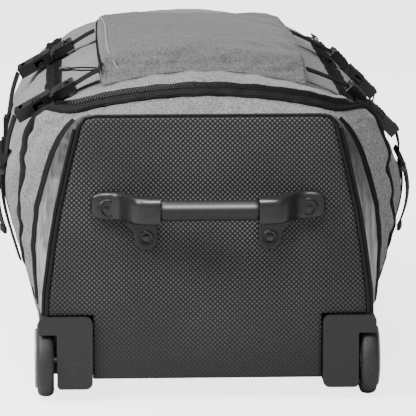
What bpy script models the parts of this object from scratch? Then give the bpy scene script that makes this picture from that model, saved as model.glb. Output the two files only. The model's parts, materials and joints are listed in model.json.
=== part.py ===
"""A wheeled soft bag for three bowling balls, lying on its back with the lid up.

The bag is a hollow fabric body on a back board, with a moulded panel, two wheels and a grab
handle at the near end, a trolley handle at the far end, a zipped lid held by four buckles,
a shoe pocket on the lid, and a foam cradle with three cups inside. X is across the bag,
Y runs from the wheels to the far end, Z is up. Sizes are in millimetres until a mesh is
finished, and "depth" is the distance behind the near face of the end panel.
"""
import math

import bmesh
import bpy
from mathutils import Matrix, Vector

for old in list(bpy.data.objects):
    bpy.data.objects.remove(old)

MM = 0.001
GAP = 0.3  # between pieces that touch

# The stuffed bag
BODY_WIDTH = 408.0
BODY_HEIGHT = 306.0
BODY_LENGTH = 760.0
FLOOR_CLEARANCE = 22.0
FABRIC_WALL = 5.0
PANEL_THICKNESS = 6.0

# Lid, zip and shoe pocket
LID_NEAR = 38.0
LID_FAR_MARGIN = 60.0
LID_EDGE_FROM_SIDE = 54.0
LID_CORNER = 25.0
TAPE_WIDTH = 6.5
LID_OPENS = 105
POCKET_NEAR = 70.0
POCKET_RISE = 36.0

# Wheels
WHEEL_DIAMETER = 78.0
WHEEL_WIDTH = 17.0
WHEEL_FORWARD = 11.0  # how far the tyre stands in front of the end panel
HOUSING_WIDTH = 54.0
HOUSING_WALL = 3.0
AXLE_DIAMETER = 8.0
BEARING_DIAMETER = 22.0
RUNNING_CLEARANCE = 0.3

# Grab handle on the end panel
HANDLE_HEIGHT = 201.0
HANDLE_STANDOFF = 38.0
GRIP_DIAMETER = 21.0
GRIP_HALF = 48.5
BRACKET_END = 117.0
BRACKET_HEIGHT = 27.0
BRACKET_PLATE = 4.0
ROD_DIAMETER = 8.0
SCREW_DIAMETER = 4.0

# Trolley handle
TUBE_DIAMETER = 20.0
TUBE_WALL = 1.5
TUBE_SPACING = 120.0
TROLLEY_TRAVEL = 400.0
TROLLEY_GRIP_DEPTH = 15.0
TROLLEY_GRIP_HEIGHT = 19.0
BEZEL_THICKNESS = 4.0
BOARD_THICKNESS = 3.0

# Bowling balls that the cradle holds
BALL_DIAMETER = 218.0
BALL_SPACING = 220.0
BALL_SINK = 50.0
FOAM_UNDER_BALL = 8.0

# Buckles for 25 mm webbing
WEBBING_WIDTH = 25.0
WEBBING_THICKNESS = 1.6
BUCKLE_WIDTH = 38.0
BUCKLE_THICKNESS = 12.0
BUCKLE_SPLIT = 28.0  # from the plug's strap end to the socket's mouth
BUCKLE_LENGTH = 68.0
PRONG_LENGTH = 20.0
BUCKLE_LIFT = 1.0  # over the shoulder of the bag
BUCKLES = (  # name, side, depth, lean in degrees, distance of its middle outside the lid's edge
    ("near_left", -1, 130.0, 29.0, 11.5),
    ("far_left", -1, 460.0, 29.0, 11.5),
    ("near_right", 1, 130.0, 45.0, 24.3),
    ("far_right", 1, 460.0, 46.0, 32.0),
)

# Places that follow from the sizes above
HALF = BODY_WIDTH / 2
WIDE = BODY_WIDTH / 408.0  # the outlines below are drawn for a body this wide and tall
TALL = BODY_HEIGHT / 306.0
NEAR_REACH = HANDLE_STANDOFF + GRIP_DIAMETER / 2 + 1
FAR_REACH = BODY_LENGTH + GAP + BEZEL_THICKNESS + GAP + TROLLEY_GRIP_DEPTH
PANEL_Y = (NEAR_REACH - FAR_REACH) / 2
LID_HALF = HALF - LID_EDGE_FROM_SIDE
HINGE_DEPTH = BODY_LENGTH - LID_FAR_MARGIN
TAPE_END = HINGE_DEPTH - 14
HOUSING_OUTER = 163.5 * WIDE + 6.5
HOUSING_INNER = HOUSING_OUTER - HOUSING_WIDTH
HOUSING_TOP = WHEEL_DIAMETER + 9
HOUSING_FRONT = -4.0
AXLE_DEPTH = WHEEL_DIAMETER / 2 - WHEEL_FORWARD
AXLE_HEIGHT = WHEEL_DIAMETER / 2
HOUSING_BACK = AXLE_DEPTH + WHEEL_DIAMETER / 2 + 5
WHEEL_MIDDLE = HOUSING_OUTER - 6.5
WELL_INNER = WHEEL_MIDDLE - WHEEL_WIDTH / 2 - 3
BOARD_BOTTOM = FLOOR_CLEARANCE + FABRIC_WALL + GAP
TUBE_HEIGHT = BOARD_BOTTOM + BOARD_THICKNESS + GAP + TUBE_DIAMETER / 2
INNER_TUBE_DIAMETER = TUBE_DIAMETER - 2 * TUBE_WALL - 2 * RUNNING_CLEARANCE
CRADLE_BOTTOM = TUBE_HEIGHT + TUBE_DIAMETER / 2 + 0.6
BALL_HEIGHT = CRADLE_BOTTOM + FOAM_UNDER_BALL + BALL_DIAMETER / 2
CRADLE_TOP = BALL_HEIGHT - BALL_DIAMETER / 2 + BALL_SINK
CRADLE_MIDDLE = (BODY_LENGTH - 10) / 2


def at(depth):
    return PANEL_Y + depth


def scaled(points):
    """Half an outline of the body, drawn at its usual size, at the size set above."""
    return [(x * WIDE, FLOOR_CLEARANCE + (z - 22) * TALL) for x, z in points]


# The body's outline at stations along its length: half of it, from the middle of the
# bottom, round the side, to the middle of the top. Each has the same 17 points.
PANEL_OUTLINE = scaled([
    (0, 22), (75, 22), (146, 22), (160, 26), (163, 60), (159.5, 110), (153, 160), (147, 195),
    (139, 230), (134.5, 250), (130.5, 265), (127, 280), (122, 287), (112, 289), (95, 289),
    (50, 289), (0, 289)])
SEAM_OUTLINE = scaled([
    (0, 22), (75, 22), (148, 22), (165, 27), (177, 60), (182, 110), (180, 155), (172, 195),
    (162, 230), (155.5, 250), (148, 265), (141, 275), (133, 283), (120, 289), (98, 295),
    (50, 301), (0, 304)])
ARCH_OUTLINE = scaled([
    (0, 22), (75, 22), (149, 22), (167, 27), (178, 60), (184, 110), (187, 155), (186, 195),
    (181, 230), (175, 252), (170, 268), (162, 283), (152, 296), (128, 304), (100, 310),
    (50, 317), (0, 320)])
SIDE_SEAM_OUTLINE = scaled([
    (0, 22), (75, 22), (150, 22), (168, 27), (180, 60), (187, 110), (191.5, 160), (190, 195),
    (186, 230), (183, 252), (179, 268), (168, 282), (151, 293), (127, 304), (101, 315),
    (50, 325), (0, 328)])
MIDDLE_OUTLINE = scaled([
    (0, 22), (75, 22), (152, 22), (167, 27), (180, 60), (194, 110), (202, 160), (204, 195),
    (200, 228), (190, 249), (178, 264), (164, 277), (150, 287), (125, 301), (100, 315),
    (50, 325), (0, 328)])
REAR_OUTLINE = scaled([
    (0, 22), (75, 22), (152, 22), (167, 27), (180, 60), (193, 110), (200, 160), (202, 195),
    (198, 228), (188, 249), (177, 264), (164, 277), (150, 287), (125, 298), (100, 308),
    (50, 315), (0, 317)])
HINGE_OUTLINE = scaled([
    (0, 22), (75, 22), (150, 22), (165, 27), (176, 60), (187, 110), (193, 160), (194, 195),
    (189, 228), (180, 246), (169, 260), (157, 272), (145, 281), (122, 291), (98, 299),
    (50, 305), (0, 307)])
REAR_CORNER_OUTLINE = scaled([
    (0, 22), (75, 22), (147, 22), (160, 28), (170, 60), (178, 110), (182, 160), (182, 195),
    (176, 228), (167, 245), (156, 257), (144, 266), (132, 273), (113, 281), (92, 287),
    (48, 292), (0, 294)])
END_OUTLINE = scaled([
    (0, 24), (75, 24), (140, 24), (152, 32), (160, 62), (166, 108), (168, 155), (166, 188),
    (160, 215), (152, 232), (142, 243), (131, 251), (120, 257), (103, 263), (84, 267),
    (44, 271), (0, 273)])
STATIONS = (
    (PANEL_THICKNESS + GAP, PANEL_OUTLINE),
    (25.0, SEAM_OUTLINE),
    (42.0, ARCH_OUTLINE),
    (80.0, SIDE_SEAM_OUTLINE),
    (108.0, MIDDLE_OUTLINE),
    (BODY_LENGTH * 0.63, MIDDLE_OUTLINE),
    (BODY_LENGTH - 120, REAR_OUTLINE),
    (HINGE_DEPTH, HINGE_OUTLINE),
    (BODY_LENGTH - 15, REAR_CORNER_OUTLINE),
    (BODY_LENGTH, END_OUTLINE),
)
HINGE_HEIGHT = HINGE_OUTLINE[-1][1]


# Materials and bodies

def finish(name, colour, roughness, metallic=0.0):
    material = bpy.data.materials.new(name)
    material.use_nodes = True
    shader = material.node_tree.nodes["Principled BSDF"]
    shader.inputs["Base Color"].default_value = (*colour, 1.0)
    shader.inputs["Roughness"].default_value = roughness
    shader.inputs["Metallic"].default_value = metallic
    return material


HEATHER = (0.36, 0.36, 0.37), 0.9
PANEL_GREY = (0.045, 0.045, 0.047), 0.6
HOUSING_GREY = (0.05, 0.05, 0.05), 0.4
RUBBER = (0.06, 0.06, 0.06), 0.8
WHEEL_SILVER = (0.35, 0.35, 0.36), 0.35
STEEL = (0.6, 0.6, 0.6), 0.3, 1.0
ALUMINIUM = (0.55, 0.56, 0.57), 0.35, 1.0
BLACK_NYLON = (0.012, 0.012, 0.012), 0.45
WEBBING = (0.014, 0.014, 0.014), 0.85
FOAM = (0.05, 0.05, 0.055), 0.95
BOARD = (0.03, 0.03, 0.03), 0.6

pivots = {"bag": Vector((0, 0, 0))}
frames = {"bag": None}


def moving_body(name, pivot, parent="bag"):
    """An empty on the joint's axis, which carries the pieces of one moving body."""
    empty = bpy.data.objects.new(name + "_pivot", None)
    bpy.context.scene.collection.objects.link(empty)
    empty.parent = frames[parent]
    pivots[name] = Vector(pivot)
    empty.location = (pivots[name] - pivots[parent]) * MM
    frames[name] = empty


def link(name, mesh, body):
    thing = bpy.data.objects.new(name, mesh)
    bpy.context.scene.collection.objects.link(thing)
    thing.parent = frames[body]
    return thing


def mesh_of(name, shape, body):
    """Turns a shape in millimetres into a mesh in metres, measured from its body's pivot."""
    bmesh.ops.translate(shape, verts=shape.verts, vec=-pivots[body])
    bmesh.ops.scale(shape, verts=shape.verts, vec=(MM, MM, MM))
    bmesh.ops.recalc_face_normals(shape, faces=shape.faces)
    mesh = bpy.data.meshes.new(name)
    shape.to_mesh(mesh)
    shape.free()
    return mesh


def piece(name, shape, look, body="bag", smooth=False):
    mesh = mesh_of(name, shape, body)
    mesh.materials.append(finish(name, *look))
    if smooth:
        mesh.shade_smooth()
        mesh.set_sharp_from_angle(angle=math.radians(35))
    return link(name, mesh, body)


def boolean(target, operation, shape, body="bag"):
    """Cuts, joins or keeps a shape, through a hidden helper object."""
    name = f"{target.name}_helper_{len(target.modifiers)}"
    helper = link(name, mesh_of(name, shape, body), body)
    helper.hide_render = True
    helper.display_type = "WIRE"
    modifier = target.modifiers.new(name, "BOOLEAN")
    modifier.operation = operation
    modifier.solver = "EXACT"
    modifier.object = helper
    return target


# Shapes

def prism(points, axis, low, high):
    """An outline pulled out along an axis. Its points lie in the plane of the other two axes."""
    shape = bmesh.new()
    place = {"X": lambda p: (low, *p), "Y": lambda p: (p[0], low, p[1]), "Z": lambda p: (*p, low)}
    face = shape.faces.new([shape.verts.new(place[axis](p)) for p in points])
    pulled = bmesh.ops.extrude_face_region(shape, geom=[face])["geom"]
    far = [v for v in pulled if isinstance(v, bmesh.types.BMVert)]
    way = Vector([(high - low) * (a == axis) for a in "XYZ"])
    bmesh.ops.translate(shape, verts=far, vec=way)
    return shape


def box(x, y, z):
    corners = [(x[0], y[0]), (x[1], y[0]), (x[1], y[1]), (x[0], y[1])]
    return prism(corners, "Z", z[0], z[1])


def turned(profile, centre, axis, sides=32, closed=False):
    """A profile of (radius, along) points turned about an axis through the centre.

    An open profile starts and ends on the axis; a closed one makes a ring.
    """
    shape = bmesh.new()
    rings = []
    for radius, along in profile:
        count = sides if radius else 1
        ring = []
        for i in range(count):
            angle = 2 * math.pi * i / sides
            a, b = radius * math.cos(angle), radius * math.sin(angle)
            spot = {"X": (along, a, b), "Y": (a, along, b), "Z": (a, b, along)}[axis]
            ring.append(shape.verts.new(Vector(spot) + Vector(centre)))
        rings.append(ring)
    pairs = list(zip(rings, rings[1:] + rings[:1]))
    for first, second in pairs if closed else pairs[:-1]:
        for i in range(sides):
            corners = [first[i % len(first)], first[(i + 1) % len(first)],
                       second[(i + 1) % len(second)], second[i % len(second)]]
            shape.faces.new(list(dict.fromkeys(corners)))
    return shape


def rod(centre, axis, radius, low, high, sides=24):
    return turned([(0, low), (radius, low), (radius, high), (0, high)], centre, axis, sides)


def sleeve(centre, axis, outer, inner, low, high, sides=24):
    profile = [(inner, low), (outer, low), (outer, high), (inner, high)]
    return turned(profile, centre, axis, sides, closed=True)


def loft(rings):
    """Rings of equally many points, joined one to the next and closed at both ends."""
    shape = bmesh.new()
    made = [[shape.verts.new(p) for p in ring] for ring in rings]
    for first, second in zip(made, made[1:]):
        for i in range(len(first)):
            j = (i + 1) % len(first)
            shape.faces.new([first[i], first[j], second[j], second[i]])
    ends = [shape.faces.new(made[0]), shape.faces.new(made[-1])]
    bmesh.ops.poke(shape, faces=ends)
    bmesh.ops.triangulate(shape, faces=shape.faces)
    return shape


def mirrored(half):
    return half + [(-x, z) for x, z in half[-2:0:-1]]


def moved_in(ring, distance):
    """A closed outline, anticlockwise, moved inwards by a distance all round."""
    result = []
    for i, point in enumerate(ring):
        here = Vector(point)
        before = (here - Vector(ring[i - 1])).normalized()
        after = (Vector(ring[(i + 1) % len(ring)]) - here).normalized()
        inward = Vector((-before.y - after.y, before.x + after.x)).normalized()
        reach = distance / max(0.5, inward.dot(Vector((-before.y, before.x))))
        result.append(tuple(here + inward * reach))
    return result


def envelope(inset):
    """The whole outside of the stuffed body as one solid, moved in by an inset."""
    rings = []
    for i, (depth, outline) in enumerate(STATIONS):
        depth += inset if i == 0 else -inset if i == len(STATIONS) - 1 else 0
        ring = moved_in(mirrored(outline), inset)
        rings.append([(x, at(depth), z) for x, z in ring])
    return loft(rings)


def lid_outline(grow, grow_behind):
    """The lid in plan: rounded near corners, and square behind the ends of the zip."""
    half, near = LID_HALF + grow, LID_NEAR - grow
    radius = LID_CORNER + grow
    corner = []
    for i in range(7):
        angle = math.radians(180 + 15 * i)
        corner.append((-half + radius + radius * math.cos(angle),
                       at(near + radius + radius * math.sin(angle))))
    corner += [(-x, y) for x, y in reversed(corner)]
    behind = LID_HALF + grow_behind
    far = at(HINGE_DEPTH + grow_behind)
    return corner + [(half, at(TAPE_END)), (behind, at(TAPE_END)), (behind, far),
                     (-behind, far), (-behind, at(TAPE_END)), (-half, at(TAPE_END))]


def tape_outline(outer, inner):
    """One half of the main zip in plan, a U open towards the hinge."""
    ends = []
    for grow in (outer, inner):
        line = lid_outline(grow, grow)[:14]
        half = LID_HALF + grow
        stop = at(TAPE_END - GAP)
        ends.append([(-half, stop)] + line + [(half, stop)])
    return ends[0] + ends[1][::-1]


ABOVE_BALLS = FLOOR_CLEARANCE + 0.6 * BODY_HEIGHT
OVER_TOP = FLOOR_CLEARANCE + 1.4 * BODY_HEIGHT


def shell_part(name, plan, look, body):
    """The part of the fabric wall that stands inside an outline in plan."""
    part = piece(name, envelope(0), look, body, smooth=True)
    boolean(part, "DIFFERENCE", envelope(FABRIC_WALL), body)
    return boolean(part, "INTERSECT", prism(plan, "Z", ABOVE_BALLS, OVER_TOP), body)


# The moving bodies, each with its pivot on its joint's axis

def support(outline, direction):
    return max(Vector(p).dot(direction) for p in outline)


def buckle_frame(side, depth, lean, outside):
    """Where a buckle lies: its middle, its way outwards, and its way off the bag."""
    lean = math.radians(lean)
    off = Vector((math.sin(lean), math.cos(lean)))
    out = Vector((math.cos(lean), -math.sin(lean)))
    height = support(MIDDLE_OUTLINE, off) + BUCKLE_THICKNESS / 2 + BUCKLE_LIFT
    along = (LID_HALF + outside - off.x * height) / out.x
    middle = off * height + out * along
    return (Vector((side * middle.x, at(depth), middle.y)), Vector((side * out.x, 0, out.y)),
            Vector((side * off.x, 0, off.y)))


SLIDER_LEAN = 32.0
SLIDERS = (  # name, depth, way along Y that it runs and its puller points
    ("front", BODY_LENGTH - 175, -1),
    ("rear", BODY_LENGTH - 154, 1),
)
PIVOT_LIFT = 2.4  # a puller's axis over the foot of its slider


def slider_frame(depth):
    """The middle of a slider's foot on the right run of the zip, and its way off the bag."""
    lean = math.radians(SLIDER_LEAN)
    off = Vector((math.sin(lean), 0, math.cos(lean)))
    edge = [p for p in MIDDLE_OUTLINE if abs(p[0] - 150 * WIDE) < 1][0]
    return Vector((edge[0], at(depth), edge[1])) + off * 1.2, off


POCKET_SLIDER_DEPTH = POCKET_NEAR + 18
POCKET_SLIDER_HEIGHT = FLOOR_CLEARANCE + 304 * TALL
POCKET_HALF = 105.0 * WIDE
CARRY_DEPTH = BODY_LENGTH * 0.39
CARRY_HEIGHT = FLOOR_CLEARANCE + 210 * TALL
CARRY_DROP = 37.0

moving_body("lid", (0, at(HINGE_DEPTH), HINGE_HEIGHT))
for side, label in ((-1, "left"), (1, "right")):
    moving_body("wheel_" + label, (side * WHEEL_MIDDLE, at(AXLE_DEPTH), AXLE_HEIGHT))
moving_body("trolley", (0, at(BODY_LENGTH), TUBE_HEIGHT))
moving_body("trolley_button", (0, at(FAR_REACH), TUBE_HEIGHT), "trolley")
for label, side, depth, lean, outside in BUCKLES:
    moving_body("plug_" + label, buckle_frame(side, depth, lean, outside)[0], "lid")
for label, depth, way in SLIDERS:
    foot, off = slider_frame(depth)
    moving_body("slider_" + label, foot, "bag")
    moving_body("puller_" + label, foot + off * PIVOT_LIFT, "slider_" + label)
POCKET_FOOT = Vector((-POCKET_HALF - 1.6, at(POCKET_SLIDER_DEPTH), POCKET_SLIDER_HEIGHT))
moving_body("pocket_slider", POCKET_FOOT, "lid")
moving_body("pocket_puller", POCKET_FOOT - Vector((PIVOT_LIFT, 0, 0)), "pocket_slider")
moving_body("carry_handle", (-HALF - 3, at(CARRY_DEPTH), CARRY_HEIGHT))


# Fabric body, lid and the two halves of the zip

shell = piece("body_shell", envelope(0), HEATHER, smooth=True)
boolean(shell, "DIFFERENCE", envelope(FABRIC_WALL))
boolean(shell, "DIFFERENCE", prism(lid_outline(TAPE_WIDTH + GAP, GAP), "Z", ABOVE_BALLS, OVER_TOP))
for side in (-1, 1):
    notch = sorted((side * (HOUSING_INNER - GAP), side * BODY_WIDTH))
    boolean(shell, "DIFFERENCE", box(notch, (at(-20), at(HOUSING_BACK + GAP)),
                                     (0, HOUSING_TOP + GAP)))
TUBE_SLOT = TUBE_SPACING / 2 + TUBE_DIAMETER / 2
boolean(shell, "DIFFERENCE", box(
    (-TUBE_SLOT, TUBE_SLOT), (at(BODY_LENGTH - 2 * FABRIC_WALL), at(BODY_LENGTH + 5)),
    (TUBE_HEIGHT - TUBE_DIAMETER / 2, TUBE_HEIGHT + TUBE_DIAMETER / 2)))

shell_part("lid_panel", lid_outline(-TAPE_WIDTH - GAP, -GAP), HEATHER, "lid")
shell_part("zipper_track_lid", tape_outline(-GAP, -TAPE_WIDTH), BLACK_NYLON, "lid")
shell_part("zipper_track_body", tape_outline(TAPE_WIDTH, GAP), BLACK_NYLON, "bag")

# Shoe pocket: highest a third of the way along the bag, and low again at both ends. Each
# station is a depth, a half width and a height as a share of the pocket's rise.

POCKET_STATIONS = (
    (POCKET_NEAR, 103, 0.08), (POCKET_NEAR + 18, 104, 0.47), (POCKET_NEAR + 60, 105, 0.78),
    (BODY_LENGTH * 0.26, 106, 0.95), (BODY_LENGTH * 0.335, 106, 1.0),
    (BODY_LENGTH * 0.43, 106, 0.81), (BODY_LENGTH * 0.55, 105, 0.47),
    (BODY_LENGTH * 0.66, 104, 0.17), (BODY_LENGTH * 0.72, 100, -0.08),
)
CROWN = MIDDLE_OUTLINE[-1][1]


def pocket_ring(depth, half, share):
    top = CROWN + POCKET_RISE * share
    half *= WIDE
    low = ABOVE_BALLS + 40
    line = [(0, low), (half + 1, low), (half, top - 16), (half - 4, top - 6), (half - 14, top - 1.5),
            (0, top)]
    return [(x, at(depth), z) for x, z in mirrored(line)]


pocket = piece("shoe_pocket", loft([pocket_ring(*s) for s in POCKET_STATIONS]), HEATHER, "lid",
               smooth=True)
boolean(pocket, "DIFFERENCE", envelope(-GAP), "lid")

# End panel, notched round the wheel housings and drilled for the handle's screws

SCREWS = (  # name, side, distance from the middle, height
    ("upper_left", -1, 100.0, HANDLE_HEIGHT - 4), ("lower_left", -1, 62.0, HANDLE_HEIGHT - 33),
    ("upper_right", 1, 100.0, HANDLE_HEIGHT - 4), ("lower_right", 1, 62.0, HANDLE_HEIGHT - 33),
)
SCREW_HOLE = SCREW_DIAMETER / 2 + GAP


def screw_hole(side, across, height):
    return rod((side * across, at(0), height), "Y", SCREW_HOLE, -20, 20, 12)


panel = piece("end_panel", prism(mirrored(PANEL_OUTLINE), "Y", at(0), at(PANEL_THICKNESS)),
              PANEL_GREY)
for side in (-1, 1):
    notch = sorted((side * (HOUSING_INNER - GAP), side * BODY_WIDTH))
    boolean(panel, "DIFFERENCE", box(notch, (at(-20), at(20)), (0, HOUSING_TOP + GAP)))
for label, side, across, height in SCREWS:
    boolean(panel, "DIFFERENCE", screw_hole(side, across, height))

# Back board, and the foam cradle with a cup for each ball

INSIDE_HALF = HOUSING_INNER - 4
piece("back_board", box((-INSIDE_HALF, INSIDE_HALF), (at(18), at(BODY_LENGTH - 18)),
                        (BOARD_BOTTOM, BOARD_BOTTOM + BOARD_THICKNESS)), BOARD)

cradle = piece("ball_cradle", box((-INSIDE_HALF, INSIDE_HALF), (at(22), at(BODY_LENGTH - 32)),
                                  (CRADLE_BOTTOM, CRADLE_TOP)), FOAM)
for i in (-1, 0, 1):
    ball = bmesh.new()
    bmesh.ops.create_uvsphere(ball, u_segments=24, v_segments=16, radius=BALL_DIAMETER / 2)
    middle = (0, at(CRADLE_MIDDLE + i * BALL_SPACING), BALL_HEIGHT)
    bmesh.ops.translate(ball, verts=ball.verts, vec=middle)
    boolean(cradle, "DIFFERENCE", ball)

# Wheels: a hollow housing with an open well, and a tyre and core on a bearing and axle

LIP_BOTTOM = AXLE_HEIGHT + 4 + math.sqrt(
    (WHEEL_DIAMETER / 2) ** 2 - (AXLE_DEPTH + abs(HOUSING_FRONT) - HOUSING_WALL) ** 2)
WELL_TOP = WHEEL_DIAMETER + 4
for side, label in ((-1, "left"), (1, "right")):
    def across(low, high):
        return sorted((side * low, side * high))

    hub = (0, at(AXLE_DEPTH), AXLE_HEIGHT)
    body = "wheel_" + label
    housing = piece("wheel_housing_" + label, box(
        across(HOUSING_INNER, HOUSING_OUTER), (at(HOUSING_FRONT), at(HOUSING_BACK)),
        (13, HOUSING_TOP)), HOUSING_GREY)
    boolean(housing, "DIFFERENCE", box(
        across(WELL_INNER, HOUSING_OUTER + 10),
        (at(HOUSING_FRONT + HOUSING_WALL), at(HOUSING_BACK - HOUSING_WALL)), (0, WELL_TOP)))
    boolean(housing, "DIFFERENCE", box(
        across(WELL_INNER, HOUSING_OUTER + 10), (at(-30), at(AXLE_DEPTH)), (0, LIP_BOTTOM)))
    boolean(housing, "DIFFERENCE", box(
        across(HOUSING_INNER + HOUSING_WALL, WELL_INNER - HOUSING_WALL),
        (at(HOUSING_FRONT + HOUSING_WALL), at(HOUSING_BACK + 10)),
        (13 + HOUSING_WALL, HOUSING_TOP - HOUSING_WALL)))
    boolean(housing, "DIFFERENCE", rod(
        hub, "X", AXLE_DIAMETER / 2 + GAP, *across(WELL_INNER - 10, WELL_INNER + 10), 16))

    inner_face = WHEEL_MIDDLE - WHEEL_WIDTH / 2
    outer_face = WHEEL_MIDDLE + WHEEL_WIDTH / 2
    tyre_profile = [(29.5, inner_face), (37, inner_face), (39, inner_face + 3),
                    (39, outer_face - 3), (37, outer_face), (29.5, outer_face)]
    share = WHEEL_DIAMETER / 78
    tyre_profile = [(r * share, side * x) for r, x in tyre_profile]
    piece("tyre_" + label, turned(tyre_profile, hub, "X", 32, closed=True), RUBBER, body, True)
    seat = BEARING_DIAMETER / 2 + GAP
    rim = 29.5 * share - GAP
    core_profile = [(0, outer_face - 1), (seat, outer_face - 1), (seat, inner_face),
                    (rim, inner_face), (rim, outer_face - 2), (rim * 0.6, outer_face + 2),
                    (0, outer_face + 3)]
    core_profile = [(r, side * x) for r, x in core_profile]
    piece("wheel_core_" + label, turned(core_profile, hub, "X", 32), WHEEL_SILVER, body, True)
    bearing = sleeve(hub, "X", BEARING_DIAMETER / 2, AXLE_DIAMETER / 2 + RUNNING_CLEARANCE,
                     *across(inner_face, inner_face + 7))
    piece("wheel_bearing_" + label, bearing, STEEL, body, True)
    head = WELL_INNER - HOUSING_WALL - GAP
    axle_profile = [(0, head - 4), (7, head - 4), (7, head), (AXLE_DIAMETER / 2, head),
                    (AXLE_DIAMETER / 2, outer_face - 3), (0, outer_face - 3)]
    piece("axle_" + label, turned([(r, side * x) for r, x in axle_profile], hub, "X", 20), STEEL,
          smooth=True)

# Grab handle: two moulded brackets screwed to the end panel, a steel rod and a grip sleeve

ROD_PLACE = (0, at(-HANDLE_STANDOFF), HANDLE_HEIGHT)
FRONT = -HANDLE_STANDOFF - GRIP_DIAMETER / 2 - 0.7
PLATE = -GAP - BRACKET_PLATE
ARM_INNER = GRIP_HALF + GAP
for side, label in ((-1, "left"), (1, "right")):
    arm = [(BRACKET_END, -GAP), (BRACKET_END, PLATE), (93, PLATE), (84, PLATE - 5),
           (76, FRONT + 14), (70, FRONT + 4), (63, FRONT), (ARM_INNER, FRONT),
           (ARM_INNER, FRONT + 23), (60, FRONT + 23), (66, PLATE - 10), (74, PLATE),
           (74, -GAP)]
    low = HANDLE_HEIGHT - BRACKET_HEIGHT / 2
    bracket = piece("handle_bracket_" + label, prism(
        [(side * x, at(d)) for x, d in arm], "Z", low, low + BRACKET_HEIGHT), BLACK_NYLON)
    boolean(bracket, "UNION", box(sorted((side * 52, side * 78)), (at(PLATE), at(-GAP)),
                                  (HANDLE_HEIGHT - 44, HANDLE_HEIGHT - 3)))
    boolean(bracket, "DIFFERENCE", rod(
        ROD_PLACE, "X", ROD_DIAMETER / 2 + GAP, *sorted((side * 40, side * 64.5)), 16))
    for name, screw_side, across_by, height in SCREWS:
        if screw_side == side:
            boolean(bracket, "DIFFERENCE", screw_hole(side, across_by, height))
piece("handle_grip", sleeve(ROD_PLACE, "X", GRIP_DIAMETER / 2, ROD_DIAMETER / 2 + GAP,
                            -GRIP_HALF, GRIP_HALF, 24), RUBBER, smooth=True)
piece("handle_rod", rod(ROD_PLACE, "X", ROD_DIAMETER / 2, -64, 64, 16), STEEL, smooth=True)
for label, side, across_by, height in SCREWS:
    radius = SCREW_DIAMETER / 2
    profile = [(0, PLATE - 2.6), (3, PLATE - 2.4), (4.2, PLATE - GAP), (radius, PLATE - GAP),
               (radius, PANEL_THICKNESS - 1), (0, PANEL_THICKNESS - 1)]
    place = (side * across_by, at(0), height)
    piece("handle_screw_" + label, turned(profile, place, "Y", 12), STEEL, smooth=True)

# Trolley handle: outer tubes on the back board, inner tubes that slide out with the grip

GRIP_NEAR = BODY_LENGTH + GAP + BEZEL_THICKNESS + GAP
SOCKET_DEPTH = 9.0
for side, label in ((-1, "left"), (1, "right")):
    place = (side * TUBE_SPACING / 2, at(0), TUBE_HEIGHT)
    outer = TUBE_DIAMETER / 2
    piece("trolley_outer_tube_" + label, sleeve(
        place, "Y", outer, outer - TUBE_WALL, 110, BODY_LENGTH - GAP, 20), ALUMINIUM, smooth=True)
    inner = INNER_TUBE_DIAMETER / 2
    piece("trolley_inner_tube_" + label, sleeve(
        place, "Y", inner, inner - TUBE_WALL, 140, GRIP_NEAR + SOCKET_DEPTH - GAP, 20),
        ALUMINIUM, "trolley", True)

BEZEL_HALF = TUBE_SLOT + 12
bezel = piece("trolley_bezel", box(
    (-BEZEL_HALF, BEZEL_HALF), (at(BODY_LENGTH + GAP), at(BODY_LENGTH + GAP + BEZEL_THICKNESS)),
    (FLOOR_CLEARANCE + 4, TUBE_HEIGHT + TUBE_DIAMETER / 2 + 6)), BLACK_NYLON)
grip = piece("trolley_grip", box(
    (-BEZEL_HALF + 6, BEZEL_HALF - 6), (at(GRIP_NEAR), at(FAR_REACH)),
    (TUBE_HEIGHT - TROLLEY_GRIP_HEIGHT / 2, TUBE_HEIGHT + TROLLEY_GRIP_HEIGHT / 2)),
    BLACK_NYLON, "trolley")
for side in (-1, 1):
    place = (side * TUBE_SPACING / 2, at(0), TUBE_HEIGHT)
    hole = INNER_TUBE_DIAMETER / 2 + GAP
    boolean(bezel, "DIFFERENCE", rod(place, "Y", hole, BODY_LENGTH - 9, GRIP_NEAR + 9, 20))
    boolean(grip, "DIFFERENCE", rod(
        place, "Y", hole, GRIP_NEAR - 9, GRIP_NEAR + SOCKET_DEPTH, 20), "trolley")
BUTTON = (9.0, 5.0)  # half width and half height
boolean(grip, "DIFFERENCE", box(
    (-BUTTON[0] - GAP, BUTTON[0] + GAP), (at(FAR_REACH - 10), at(FAR_REACH + 5)),
    (TUBE_HEIGHT - BUTTON[1] - GAP, TUBE_HEIGHT + BUTTON[1] + GAP)), "trolley")
piece("trolley_button", box((-BUTTON[0], BUTTON[0]), (at(FAR_REACH - 6), at(FAR_REACH)),
                            (TUBE_HEIGHT - BUTTON[1], TUBE_HEIGHT + BUTTON[1])),
      WHEEL_SILVER, "trolley_button")

# Feet and skid rails under the fabric bottom

for side, label in ((-1, "left"), (1, "right")):
    top = FLOOR_CLEARANCE - GAP
    foot = [(98, top), (101, 0), (139, 0), (142, top)]
    piece("foot_" + label, prism([(side * x * WIDE, z) for x, z in foot], "Y",
                                 at(BODY_LENGTH - 70), at(BODY_LENGTH - 25)), RUBBER)
    rail = [(84, top), (87, top - 8), (93, top - 8), (96, top)]
    piece("skid_rail_" + label, prism([(side * x * WIDE, z) for x, z in rail], "Y",
                                      at(HOUSING_BACK + 18), at(BODY_LENGTH - 80)), BLACK_NYLON)


# Buckles, with a strap from the lid to each plug and one from each socket down the side

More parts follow.
